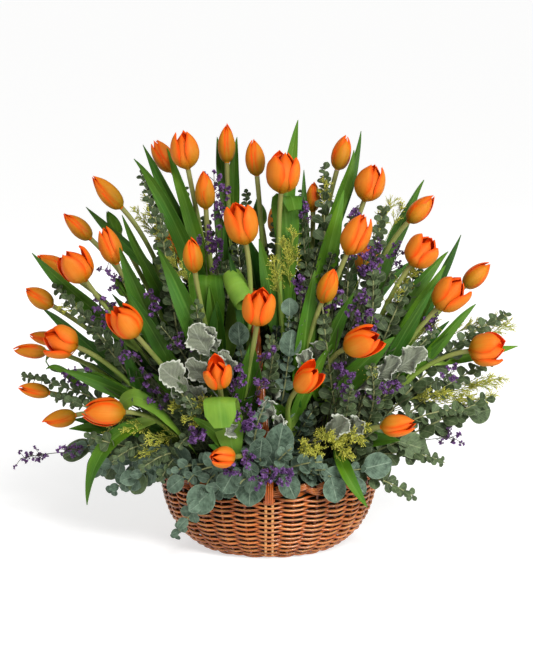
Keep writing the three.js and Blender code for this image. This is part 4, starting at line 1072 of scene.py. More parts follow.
# %% Petal finish
def petal_finish(name, face, warm, base, reach):
    petal = Finish(name)
    across, along, tone = petal.told("spot")
    wide, long, side = petal.told("grain")
    line = petal.noise(petal.place(wide * 1.3, long * 0.04, tone * 50), 1.0, 3)
    cloud = petal.noise(petal.place(wide * 0.06, long * 0.05, tone * 30), 1.0, 2)
    rim = across.math("ABSOLUTE") ** 3 + (along - 0.8).clamped() * 2.6
    outside = petal.mix(cloud.between(0.3, 0.7) * 0.6, face, warm)
    outside = petal.mix(side.between(0.2, 0.5) * 0.6, outside, rgb(222, 80, 4))
    outside = petal.mix((rim * (0.6 + line * 0.5)).between(0.1, 0.66), outside, rgb(230, 72, 0))
    pale = (1 - across.math("ABSOLUTE") * 2.6).clamped() * along.between(0.9, 0.3) * 0.3
    outside = petal.mix(pale, outside, rgb(220, 146, 58))
    foot = (1 - along / (reach * (0.65 + tone * 0.7))).clamped() ** 1.1
    outside = petal.mix(foot * (0.7 + line * 0.5), outside, base)
    outside = petal.mix(line.between(0.5, 0.72) * 0.34, outside, rgb(200, 76, 4))
    inside = petal.mix(cloud, rgb(240, 84, 2), rgb(228, 50, 0))
    inside = petal.mix((1 - along * 3.2).clamped(), inside, rgb(214, 168, 30))
    return petal.close(
        Base_Color=petal.mix(side.between(0.55, 0.95), outside, inside),
        Roughness=0.5 + line * 0.15,
        Normal=petal.bump(line, 0.0004, 0.5),
        Specular_IOR_Level=0.14,
        Subsurface_Weight=0.12,
        Subsurface_Scale=0.004,
        Subsurface_Radius=(1.0, 0.5, 0.2),
    )


BLOOM = petal_finish("open tulip petals", rgb(200, 116, 30), rgb(208, 96, 6), rgb(128, 106, 8), 0.5)
BUD = petal_finish("closed tulip petals", rgb(190, 120, 20), rgb(198, 102, 10), rgb(104, 94, 4), 0.7)
print("finishes", BLOOM.name, "and", BUD.name)

# %% [markdown]
# ## How far a bloom is open
# From foot to top a head widens and closes again. HEAD_FORMS holds that profile as [height, radius]
# pairs for each kind of head, INNER_FORMS that of the inner ring, which stays more closed, and OUTLINE
# how wide a petal is at each height. They tell a bud from an open bloom.

# %% Forms of heads and petals
HEAD_FORMS = {
    "bud": (
        (0, 0.14), (0.08, 0.58), (0.22, 0.86), (0.42, 1.0), (0.62, 0.92), (0.8, 0.68), (0.93, 0.36),
        (1, 0.12),
    ),
    "green": ((0, 0.16), (0.12, 0.68), (0.35, 0.95), (0.6, 0.9), (0.8, 0.6), (1, 0.1)),
    "half": (
        (0, 0.14), (0.07, 0.5), (0.2, 0.84), (0.36, 1.0), (0.55, 1.0), (0.75, 0.86), (0.9, 0.64),
        (1, 0.42),
    ),
    "open": (
        (0, 0.14), (0.07, 0.48), (0.2, 0.8), (0.36, 0.93), (0.55, 0.97), (0.75, 0.93), (0.9, 0.82),
        (1, 0.68),
    ),
}
INNER_FORMS = {
    "bud": HEAD_FORMS["bud"],
    "green": HEAD_FORMS["green"],
    "half": (
        (0, 0.14), (0.07, 0.5), (0.2, 0.82), (0.36, 0.94), (0.55, 0.92), (0.75, 0.72), (0.9, 0.4),
        (1, 0.12),
    ),
    "open": (
        (0, 0.14), (0.07, 0.46), (0.2, 0.78), (0.36, 0.9), (0.55, 0.9), (0.75, 0.74), (0.9, 0.48),
        (1, 0.24),
    ),
}
OUTLINE = (
    (0, 0.36), (0.1, 0.56), (0.25, 0.84), (0.42, 1.0), (0.6, 0.98), (0.75, 0.86), (0.86, 0.65),
    (0.93, 0.45), (0.975, 0.26), (1, 0.06),
)
INNER_OUTLINE = (
    (0, 0.36), (0.1, 0.56), (0.25, 0.84), (0.42, 1.0), (0.6, 1.0), (0.75, 0.92), (0.86, 0.77),
    (0.93, 0.6), (0.975, 0.4), (1, 0.16),
)
CLOSED = {"bud": 0.62, "green": 0.62, "half": 0.9, "open": 1.0}
HALF_TURNS = {"bud": (56, 50), "green": (56, 50), "half": (50, 54), "open": (47, 54)}
PETAL_ROWS = 17
PETAL_COLUMNS = 13
SPREADS = {"bud": 0.0, "green": 0.0, "half": 0.05, "open": 0.09}
LOOSE_CHANCE = 0.45
LOOSE_SPREAD = 0.2
INNER_LAYER = 0.93
OUTER_MARKS = (0.0, 1.0)
INNER_MARKS = (0.5, 1.0)
print("kinds of head:", ", ".join(HEAD_FORMS))

# %% [markdown]
# ## One petal
# The grid's columns turn round the axis by as much as the outline is wide there, its rows climb the
# axis, and the profile says how far out they lie. No two petals are stamped alike: each is a little
# shorter, more twisted or further open. The edges curl in and wave, and a crease runs down the middle.

# %% Petal
def petal(form, base, axis, first, second, length, radius, kind, angle, inner, rng):
    along = np.sin(np.linspace(0, np.pi / 2, PETAL_ROWS)) * 0.6 + np.linspace(0, 1, PETAL_ROWS) * 0.4
    across = np.linspace(-1, 1, PETAL_COLUMNS)
    v, u = np.meshgrid(along, across, indexing="ij")
    tall = rng.uniform(0.86, 1.0)
    spread = SPREADS[kind] * rng.uniform(-0.6, 2.2) * (0.3 if inner else 1)
    if kind == "open" and not inner and rng.random() < LOOSE_CHANCE:
        spread += LOOSE_SPREAD
    half_turn = math.radians(HALF_TURNS[kind][inner] + rng.uniform(-3, 3))
    twist = rng.uniform(-0.16, 0.16)
    outline = smooth_through(INNER_OUTLINE if inner else OUTLINE, along)[:, None] ** CLOSED[kind]
    cup = smooth_through((INNER_FORMS if inner else HEAD_FORMS)[kind], along)[:, None]
    turn = angle + u * half_turn * outline + twist * v
    layer = INNER_LAYER if inner else 1.0
    curl = 0.10 if kind == "open" else 0.05
    wave = 0.012 * np.sin(v * 9 + rng.uniform(0, 6)) * u**2
    out = radius * cup * layer * (1 + spread * v**2 - curl * u**2 * (0.4 + v) + wave)
    out = out - 0.5 * np.exp(-((u / 0.13) ** 2)) * np.sin(np.pi * np.minimum(1, v * 1.2))
    dip = 0.035 * np.abs(u) ** 2 * v
    up = length * tall * (v - dip)
    points = (
        base + axis * up[..., None]
        + first * (out * np.cos(turn))[..., None] + second * (out * np.sin(turn))[..., None]
    )
    thickness = 0.9 - 0.45 * np.abs(u) - 0.2 * v
    sheet(form, points, thickness, u, along, rng.random(), INNER_MARKS if inner else OUTER_MARKS)


print("a petal is", PETAL_ROWS, "by", PETAL_COLUMNS, "points on each side")

# %% [markdown]
# ## Heads
# Three petals stand inside and three outside, each over a gap of the inner ring. An open bloom also
# shows its pistil and stamens. Every head has its own seed, so a change to one leaves the others as they
# are. The green heads go with the stems.

# %% Heads
def heart(form, base, axis, first, second, length, rng):
    """The pistil and six stamens that an open bloom shows from above."""
    share = np.linspace(0.02, 0.42, 7)[:, None]
    thick = np.interp(share[:, 0], [0.02, 0.36, 0.42], [2.2, 1.9, 2.9])
    tube(form, base + axis * length * share, thick, 8, 0.1)
    for i in range(6):
        turn = i * math.pi / 3 + rng.uniform(-0.1, 0.1)
        way = first * math.cos(turn) + second * math.sin(turn)
        share = np.linspace(0.03, 0.4, 8)[:, None]
        line = base + axis * length * share + way * (3.5 + 4.5 * share / 0.4)
        thick = np.interp(share[:, 0], [0.03, 0.22, 0.25, 0.4], [0.6, 0.6, 1.3, 1.0])
        tube(form, line, thick, 6, 0.9)


def dress_head(form, tulip, rng):
    kind = tulip[7]
    base, tip = head_ends(tulip)
    length = np.linalg.norm(tip - base)
    axis = unit(tip - base)
    first, second = crossways(axis, (0, -1, 0))
    turned = rng.uniform(-0.25, 0.25) + (math.pi / 3 if rng.random() < 0.62 else 0)
    for inner in (True, False):
        for i in range(3):
            angle = turned + i * 2 * math.pi / 3 + (math.pi / 3 if inner else 0)
            petal(form, base, axis, first, second, length, tulip[6] / 2, kind, angle, inner, rng)
    if kind == "open":
        heart(form, base, axis, first, second, length, rng)
    foot = base + axis * np.linspace(-0.4, 1.8, 4)[:, None]
    tube(form, foot, [3.3, 3.8, 3.6, 2.4], 10, 0.2)


DRESS = {"bud": (BUD, "tulip_bud"), "half": (BLOOM, "tulip_bloom"), "open": (BLOOM, "tulip_bloom")}
FIRST_SEED = 100
for number, tulip in enumerate(TULIPS):
    if tulip[7] == "green":
        continue
    head = Form()
    dress_head(head, tulip, random.Random(FIRST_SEED + number))
    material, slot = DRESS[tulip[7]]
    shape_piece(tulip[0], head, material, [tulip[0]])

# %% [markdown]
# ## Stems and leaves
# A tulip's stem is round and fleshy, yellow green, and flushed brown just below the bloom. The leaves
# clasp it and are long, folded along the middle and a little waved at the edges, with fine parallel
# veins. A leaf is one grid whose middle line is a curve; the fold lifts its edges.

# %% Leaf finish
def leaf_finish():
    leaf = Finish("tulip leaves and stems")
    across, along, tone = leaf.told("spot")
    wide, long, side = leaf.told("grain")
    vein = leaf.noise(leaf.place(wide * 1.1, long * 0.012, tone * 60), 1.0, 3)
    cloud = leaf.noise(leaf.place(wide * 0.05, long * 0.02, tone * 20), 1.0, 2)
    blade = leaf.mix(tone, rgb(24, 60, 4), rgb(84, 122, 12))
    blade = leaf.mix((tone - 1).clamped(), blade, rgb(150, 184, 76))
    blade = leaf.mix(cloud.between(0.35, 0.7) * 0.5, blade, rgb(40, 98, 26))
    blade = leaf.mix(vein.between(0.5, 0.75) * 0.3, blade, rgb(112, 156, 60))
    blade = leaf.mix((1 - along * 5).clamped() * 0.7, blade, rgb(168, 196, 92))
    keel = (1 - across.math("ABSOLUTE") * 9).clamped() * 0.25
    blade = leaf.mix(keel, blade, rgb(128, 166, 76))
    stalk = leaf.mix(vein, rgb(100, 130, 44), rgb(138, 162, 72))
    flush = along.between(0.7, 1.0) * 0.65
    stalk = leaf.mix(flush, stalk, rgb(128, 110, 74))
    return leaf.close(
        Base_Color=leaf.mix(side.between(1.4, 1.6), blade, stalk),
        Roughness=0.46 + vein * 0.18,
        Normal=leaf.bump(vein, 0.0006, 0.7),
        Specular_IOR_Level=0.2,
        Subsurface_Weight=0.06,
        Subsurface_Scale=0.003,
        Subsurface_Radius=(0.4, 1.0, 0.2),
    )


LEAF = leaf_finish()
print("finish", LEAF.name)

# %% [markdown]
# ## The leaves that the photograph shows
# Each row gives the number of the tulip whose stem carries the leaf, how far up the stem it starts, a
# point that draws it aside, its tip and its width.

# %% Leaves in the plan
LEAVES = (
    (1, 0.6, (166, 188, 60), (143, 145, 75), 22), (22, 0.5, (172, 197, 40), (134, 159, 50), 27),
    (22, 0.62, (184, 188, 45), (167, 148, 60), 22), (24, 0.7, (103, 224, 75), (86, 207, 80), 18),
    (24, 0.5, (134, 244, 40), (122, 215, 45), 20), (28, 0.62, (64, 286, 30), (32, 253, 45), 27),
    (26, 0.42, (136, 282, 15), (122, 248, 20), 38), (21, 0.3, (186, 296, 0), (157, 247, 15), 34),
    (31, 0.6, (70, 326, 30), (42, 308, 45), 20), (34, 0.7, (62, 352, 10), (46, 366, 5), 17),
    (30, 0.45, (150, 322, 25), (127, 291, 30), 26), (4, 0.72, (290, 155, 75), (298, 120, 85), 22),
    (5, 0.68, (357, 168, 90), (361, 131, 95), 19), (5, 0.74, (350, 182, 55), (354, 150, 55), 20),
    (5, 0.42, (331, 232, 30), (344, 190, 40), 30), (7, 0.6, (405, 208, 85), (424, 180, 95), 27),
    (9, 0.6, (447, 262, 55), (461, 235, 60), 22), (8, 0.6, (428, 266, 45), (446, 252, 50), 24),
    (10, 0.4, (418, 298, 10), (443, 266, 15), 34), (10, 0.5, (413, 313, -15), (434, 288, -20), 24),
    (11, 0.62, (457, 318, 25), (476, 304, 30), 20), (13, 0.5, (370, 358, -15), (398, 337, -15), 34),
    (17, 0.55, (303, 222, 60), (304, 176, 75), 15), (11, 0.8, (497, 350, 45), (518, 346, 50), 17),
    (15, 0.3, (304, 322, 10), (315, 270, 25), 28), (14, 0.5, (317, 362, 15), (332, 344, 20), 19),
    (36, 0.72, (92, 432, -20), (87, 505, -10), 24), (20, 0.45, (212, 430, -10), (188, 417, -5), 24),
    (18, 0.35, (253, 376, -18), (251, 347, -14), 38), (12, 0.3, (342, 466, -45), (370, 508, -20), 22),
    (2, 0.78, (221, 168, 85), (217, 140, 95), 17), (2, 0.72, (233, 172, 80), (237, 140, 85), 19),
    (41, 0.5, (165, 285, 225), (130, 250, 235), 30), (42, 0.5, (262, 270, 235), (240, 225, 250), 32),
    (42, 0.35, (300, 300, 245), (315, 250, 255), 32), (43, 0.5, (375, 290, 225), (410, 262, 230), 30),
)
STEM_RADIUS = 3.8
BLADE_THICKNESS = 1.2
BLADE_COLUMNS = 11
BLADE_MARKS = (0.2, 0.4)
LIGHT_SIDE = unit(np.array([0, -1, 0.35]))
BLADE_OUTLINE = (
    (0, 0.42), (0.12, 0.68), (0.3, 0.96), (0.48, 1.0), (0.7, 0.78), (0.86, 0.44), (0.96, 0.16), (1, 0.04),
)
STALK_MARK = 2.0
print(len(LEAVES), "leaves planned")

# %% [markdown]
# ## A folded blade, and the line of a stem
# A leaf's path is its middle line. Its blade faces the light and the way out of the bouquet, with edges
# lifted by the fold and rippled by a wave. A stem's path starts in the foam and arrives in line with its
# head.

# %% Blades and stems
def blade_grid(path, width, fold, rows, wave, turn):
    """A folded leaf along a path: a grid of points, and where each row and column lies."""
    along, across, v, u = grid(rows, BLADE_COLUMNS)
    middle = path.at(along)
    outward = middle * np.array([1, 1, 0]) * 0.004 + LIGHT_SIDE
    face, side = crossways(path.direction(along), outward)
    half = width / 2 * smooth_through(BLADE_OUTLINE, along)
    lift = fold * half[:, None] * np.abs(u) ** 1.35
    ripple = wave * half[:, None] * np.sin(v * 14 + turn + (u > 0) * 1.7) * u**2
    points = (
        middle[:, None] + side[:, None] * (half[:, None] * u)[..., None] * math.cos(fold * 0.6)
        + face[:, None] * (lift + ripple)[..., None]
    )
    return points, across, along


def blade_sheet(form, points, across, along, tone):
    sheet(form, points, BLADE_THICKNESS * (1 - 0.6 * across**2), across, along, tone, BLADE_MARKS)


def stem_path(tulip):
    """The line of a tulip's stem from the foam to the foot of its head."""
    bunch, kind = tulip[1], tulip[-1]
    base, tip = head_ends(tulip)
    axis = unit(tip - base)
    end = base + axis * (2 if kind == "green" else -CLEARANCE - 0.15)
    start = stub_point(bunch, STUB_TOP - 3)
    outward = (end - start) * np.array([1, 1, 0])
    start = start + unit(outward) * STUBS[bunch][1] * 0.45
    distance = np.linalg.norm(end - start)
    rise = np.array([0, 0, np.linalg.norm(outward) * 0.12])

    def bent(shift):
        low = start * 0.7 + end * 0.3 + rise + shift
        high = end - axis * distance * 0.28 + shift * 0.4
        return Path(start, low, high, end)

    return as_bent("tulip_stems_" + bunch, bent)


stems = {tulip[0]: stem_path(tulip) for tulip in TULIPS}
print("stems found, mean length", round(sum(p.length for p in stems.values()) / len(stems)), "mm")

# %% [markdown]
# ## Stems and the leaves of the plan
# The cut end of a stem goes down into the foam, so each line is carried on below its start. A leaf of
# the plan leaves its stem at a fraction of the length, passes near one point and ends at its tip; both
# were read off the photograph.

# %% Grow stems and planned leaves
IN_FOAM = (26, 16, 7)
STEM_PLACES = 30
STEM_SIDES = 12
LEAF_ROWS = 34


def grow_stem(form, tulip, rng):
    line = stems[tulip[0]].at(np.linspace(0, 1, STEM_PLACES))
    down = np.array([line[0] - np.array([0, 0, drop]) for drop in IN_FOAM])
    line = np.concatenate([down, line])
    taper = np.interp(np.linspace(0, 1, len(line)), [0, 0.2, 0.85, 1], [0.9, 1.08, 0.86, 0.9])
    tube(form, line, STEM_RADIUS * taper, STEM_SIDES, rng.random())
    mark_last(form, STALK_MARK)


def grow_leaf(form, plan, rng):
    number, at, via, tip, width = plan
    name, bunch = TULIPS[number - 1][:2]
    root = stems[name].at(at)
    path = as_bent(
        "tulip_stems_" + bunch,
        lambda shift: Path(root, spot(*via) + shift, spot(*tip) + shift * 0.7),
    )
    fold = rng.uniform(0.3, 0.5)
    wave = rng.uniform(0.05, 0.16)
    points, across, along = blade_grid(path, width, fold, LEAF_ROWS, wave, rng.uniform(0, 6))
    blade_sheet(form, points, across, along, rng.random())


print("a stem is", 2 * STEM_RADIUS, "mm thick")

# %% [markdown]
# ## Leaves that clasp each stem
# A cut tulip keeps a leaf or two beside its stem. They fill the room that is left, so they are grown by
# a rule with random sizes, and a leaf that would run through a bloom is thrown away and tried again.

# %% Leaves of a stem
OWN_LEAF_TRIES = 8
OWN_LEAF_ROWS = 30
HEAD_ROOMS = [(*head_ends(tulip), tulip[6] * 0.45) for tulip in TULIPS]


def outside_heads(point, spare=2.0):
    """Whether a point lies outside every bloom, with some room to spare."""
    for base, tip, half in HEAD_ROOMS:
        way = tip - base
        share = min(1.0, max(0.0, np.dot(point - base, way) / np.dot(way, way)))
        if np.linalg.norm(point - base - way * share) < half + spare:
            return False
    return True


def clear_path(path, spare):
    return all(outside_heads(point, spare) for point in path.at(np.linspace(0.2, 1, 14)))


def grow_own_leaf(form, tulip, rng):
    """The leaf that clasps a tulip's own stem and runs up beside it."""
    stem = stems[tulip[0]]
    for _ in range(OWN_LEAF_TRIES):
        low = rng.uniform(0.3, 0.5)
        high = min(0.98, low + rng.uniform(0.3, 0.5))
        root, along = stem.at(low), stem.direction(low)
        toward, beside = crossways(along, (0, -1, 0.2))
        turn = rng.uniform(-0.5, math.pi + 0.5)
        aside = beside * math.cos(turn) + toward * math.sin(turn) * -0.6
        tip = stem.at(high) + aside * rng.uniform(24, 46)
        via = stem.at((low + high) / 2) + aside * rng.uniform(10, 18)
        path = Path(root, via, tip)
        width = rng.uniform(17, 29)
        if clear_path(path, width * 0.3):
            fold, wave = rng.uniform(0.2, 0.55), rng.uniform(0.05, 0.2)
            points, across, along = blade_grid(path, width, fold, OWN_LEAF_ROWS, wave, rng.uniform(0, 6))
            blade_sheet(form, points, across, along, rng.random() * 0.7)
            return


print("leaves keep clear of", len(HEAD_ROOMS), "heads")

# %% [markdown]
# ## Leaves that are rolled or bent over
# Florists bend a few broad leaves over and tuck their tips in. Here the middle line goes through knots
# in space and the breadth keeps to one axis, like paper rolled round a pencil. A row gives the bunch,
# the knots, the two ends of the axis, where the leaf is widest, its width and its tone; above 1 is the
# bright back of a leaf.

# %% Rolled leaves
ROLLED = (
    (
        "mid_left",
        ((206, 400, 90), (212, 332, 74), (208, 300, 60), (206, 280, 54), (207, 275, 64), (208, 292, 76)),
        ((190, 279, 56), (224, 277, 56)), 0.8, 48, 0.6,
    ),
    (
        "mid_left",
        (
            (232, 446, 10), (226, 412, 4), (221, 397, -12),
            (219, 402, -26), (220, 412, -29), (222, 428, -28),
        ),
        ((204, 410, -20), (238, 410, -20)), 0.6, 42, 1.35,
    ),
    (
        "mid_right",
        ((288, 330, 110), (288, 260, 80), (286, 218, 66), (285, 200, 58), (290, 196, 48), (295, 210, 40)),
        ((270, 204, 60), (297, 206, 60)), 0.84, 36, 0.6,
    ),
    (
        "left_low",
        ((186, 440, 20), (168, 420, 8), (150, 404, 4), (134, 397, 2), (124, 402, 8), (119, 412, 16)),
        ((142, 392, 8), (150, 408, -6)), 0.6, 24, 1.4,
    ),
    (
        "left_low",
        ((130, 390, 46), (86, 370, 34), (64, 371, 28), (50, 367, 24), (46, 360, 22), (53, 354, 24)),
        ((50, 360, 44), (56, 368, 6)), 0.5, 15, 0.6,
    ),
)
ROLL_ENDS = ((231, 274, 56), (245, 305, 34))
ROLL_RADIUS = 14.5
ROLL_WIDTH = 52
ROLLED_ROWS = 56
ROLLED_COLUMNS = 13


def rolled_sheet(form, knots, axis, full, width, tone, end=0.5):
    """A leaf whose middle line runs through the knots while its breadth keeps to one axis."""
    lengths = np.concatenate([[0], np.cumsum(np.linalg.norm(np.diff(knots, axis=0), axis=1))])
    along = np.linspace(0, 1, ROLLED_ROWS)
    at = along * lengths[-1]
    middle = np.stack([smooth_through(np.stack([lengths, knots[:, i]], 1), at) for i in range(3)], -1)
    direction = unit(np.gradient(middle, axis=0))
    side = unit(axis - direction * (direction @ axis)[:, None])
    face = np.cross(side, direction)
    across = np.linspace(-1, 1, ROLLED_COLUMNS)
    widening = (0, full - 0.25, full - 0.1, full, 0.93, 1), (0.14, 0.25, 0.75, 1, 1, end)
    half = width / 2 * np.interp(along, *widening)
    lift = 0.08 * half[:, None] * across**2
    beside = side[:, None] * (half[:, None] * across)[..., None]
    points = middle[:, None] + beside + face[:, None] * lift[..., None]
    blade_sheet(form, points, across, along, tone)


def grow_rolled_leaf(form, plan):
    bunch, places, (left, right), full, width, tone = plan
    knots = np.array([stub_point(bunch, STUB_TOP - 3)] + [spot(*place) for place in places])
    rolled_sheet(form, knots, unit(spot(*right) - spot(*left)), full, width, tone)


def grow_tube_leaf(form):
    """The broad leaf that comes up from behind and rolls into a tube, open towards the viewer."""
    far, near = spot(*ROLL_ENDS[0]), spot(*ROLL_ENDS[1])
    axis = unit(near - far)
    up, front = crossways(axis, (0, 0, 1))
    front = front if front[1] < 0 else -front
    centre = (far + near) / 2
    turn = np.radians(np.linspace(190, -130, 13))
    ring = centre + ROLL_RADIUS * (front * np.cos(turn)[:, None] + up * np.sin(turn)[:, None])
    foot = [stub_point("mid_left", STUB_TOP - 3), spot(222, 400, 90), spot(232, 340, 84)]
    foot.append(ring[0] - up * 22)
    rolled_sheet(form, np.concatenate([foot, ring]), axis, 0.7, ROLL_WIDTH, 1.5, end=0.95)


print(len(ROLLED) + 1, "leaves are rolled or bent over")

# %% [markdown]
# ## The six bunches
# Each bunch is one piece, because its stems share one hole in the foam. Rolled leaves go in first, then
# stems, planned leaves, each stem's own leaves and the green heads.

# %% Put the bunches together
for bunch in ("left_low", "left_high", "mid_left", "mid_right", "right", "back"):
    form = Form()
    rng = random.Random(bunch)
    members = [tulip for tulip in TULIPS if tulip[1] == bunch]
    for plan in ROLLED:
        if plan[0] == bunch:
            grow_rolled_leaf(form, plan)
    if bunch == "mid_left":
        grow_tube_leaf(form)
    for tulip in members:
        grow_stem(form, tulip, rng)
    for plan in LEAVES:
        if TULIPS[plan[0] - 1] in members:
            grow_leaf(form, plan, rng)
    for tulip in members:
        grow_own_leaf(form, tulip, rng)
        grow_own_leaf(form, tulip, rng)
    for tulip in members:
        if tulip[7] == "green":
            dress_head(form, tulip, rng)
    shape_piece("tulip_stems_" + bunch, form, LEAF, ["tulip_stems_" + bunch])

# %% [markdown]
# ## Eucalyptus
# Two sorts fill the basket. The fine one carries pairs of small rounded leaves, each pair crosswise to
# the last. The other has large round leaves on short stalks that hang over the rim. Both are blue green
# under a pale wax that wears off in patches, with a pale midrib and a thin pale edge. Leaves deep inside
# get next to no light: a tone below 0 stands for them, and their finish is almost black.

# %% Eucalyptus finish
def waxy_finish(name, deep, pale, vein_colour):
    wax = Finish(name)
    across, along, tone = wax.told("spot")
    wide, long, side = wax.told("grain")
    patch = wax.noise(wax.place(wide * 0.16, long * 0.16, tone * 70), 1.0, 4)
    speck = wax.noise(wax.place(wide * 0.7, long * 0.7, tone * 40), 1.0, 2)
    colour = wax.mix(tone * 0.5 + patch.between(0.35, 0.65) * 0.6, deep, pale)
    colour = wax.mix(speck.between(0.6, 0.75) * 0.3, colour, deep)
    rib = (1 - across.math("ABSOLUTE") * 14).clamped()
    slant = ((along * 9 - across.math("ABSOLUTE") * 3.5) * 6.283).math("SINE")
    rib = rib * 0.6 + slant.between(0.86, 1.0) * 0.22
    colour = wax.mix(rib, colour, vein_colour)
    colour = wax.mix(across.math("ABSOLUTE").between(0.9, 1.0) * 0.35, colour, vein_colour)
    # Painted shade: a tone below 0 takes the leaf towards near black.
    colour = wax.mix((0 - tone).clamped(), colour, rgb(14, 24, 8))
    twig = wax.mix(patch, rgb(118, 128, 84), rgb(146, 144, 98))
    return wax.close(
        Base_Color=wax.mix(side.between(1.4, 1.6), colour, twig),
        Roughness=0.5 + speck * 0.2,
        Normal=wax.bump(patch + rib, 0.0005, 0.4),
        Specular_IOR_Level=0.24,
        Subsurface_Weight=0.05,
        Subsurface_Scale=0.002,
        Subsurface_Radius=(0.6, 1.0, 0.6),
    )


SMALL_WAX = waxy_finish("small eucalyptus", rgb(26, 40, 14), rgb(84, 102, 66), rgb(134, 146, 106))
ROUND_WAX = waxy_finish("silver dollar", rgb(34, 52, 38), rgb(98, 120, 100), rgb(138, 156, 134))
print("finishes", SMALL_WAX.name, "and", ROUND_WAX.name)

# %% [markdown]
# ## Where the sprigs stand
# SPRIGS are the twigs that the solids have too: a point on the way, the tip, a leaf's length and the
# bare share of the twig. The fine ones are only here, because so thin a growth would need too many faces
# in the solids. Rows of round leaves end with the leaf's length and width.

# %% Sprigs in the plan
SPRIGS = {
    "eucalyptus_left": (
        ((176, 262, 60), (142, 172, 70), 28, 0.42), ((124, 352, 5), (57, 288, 30), 28, 0.27),
        ((116, 393, 10), (24, 377, 20), 26, 0.22), ((150, 448, 0), (98, 437, -5), 28, 0.32),
        ((190, 410, 0), (167, 372, 0), 30, 0.37),
    ),
    "eucalyptus_right": (
        ((320, 262, 70), (325, 168, 80), 28, 0.42), ((438, 347, 15), (508, 314, 20), 28, 0.37),
        ((425, 424, 0), (486, 400, 10), 35, 0.37), ((368, 290, 40), (384, 208, 50), 30, 0.42),
        ((372, 345, 20), (408, 284, 25), 30, 0.32), ((398, 440, 0), (446, 463, 0), 25, 0.32),
        ((366, 470, -15), (416, 498, -10), 25, 0.27),
    ),
    "eucalyptus_back": (
        ((190, 345, 235), (110, 315, 220), 35, 0.22), ((215, 290, 235), (205, 215, 200), 35, 0.22),
        ((300, 330, 260), (335, 255, 235), 35, 0.22), ((330, 390, 265), (440, 350, 200), 35, 0.22),
        ((250, 400, 275), (262, 330, 300), 35, 0.22),
    ),
    "silver": (
        ((216, 462, -5), (176, 534, 25), 30, 0.36),
    ),
}
ROUND_LEAVES = {
    "silver": (
        ((238, 450, -8), (249, 504, -4), 54, 40), ((230, 446, -2), (222, 489, 0), 32, 31),
        ((216, 448, 5), (190, 502, 8), 46, 38), ((292, 446, -5), (302, 499, 0), 38, 27),
        ((312, 444, 0), (328, 503, 4), 38, 30), ((326, 448, 0), (345, 484, 4), 36, 28),
        ((276, 462, -12), (283, 425, -12), 54, 36), ((255, 470, -14), (262, 440, -18), 36, 28),
        ((190, 452, 22), (167, 488, 24), 34, 22),
    ),
    "eucalyptus_right": (
        ((372, 432, 10), (388, 476, 12), 50, 38), ((394, 424, 10), (424, 450, 12), 46, 34),
        ((432, 420, 15), (490, 408, 18), 38, 30),
    ),
    "eucalyptus_left": (
        ((168, 430, 35), (142, 494, 45), 44, 36), ((146, 430, 45), (103, 490, 55), 44, 34),
        ((120, 424, 40), (64, 458, 45), 54, 28),
    ),
}
FINE_ROUND_LEAVES = {
    "silver": (
        ((240, 380, 40), (238, 322, 34), 32, 26), ((286, 390, 40), (292, 330, 34), 36, 28),
        ((290, 340, 40), (290, 298, 40), 24, 22), ((372, 470, -8), (392, 462, -2), 40, 34),
        ((372, 468, -8), (366, 494, 4), 34, 20), ((160, 440, 30), (124, 486, 44), 40, 34),
        ((166, 440, 26), (150, 478, 34), 36, 30), ((140, 430, 38), (86, 472, 50), 36, 30),
    ),
}
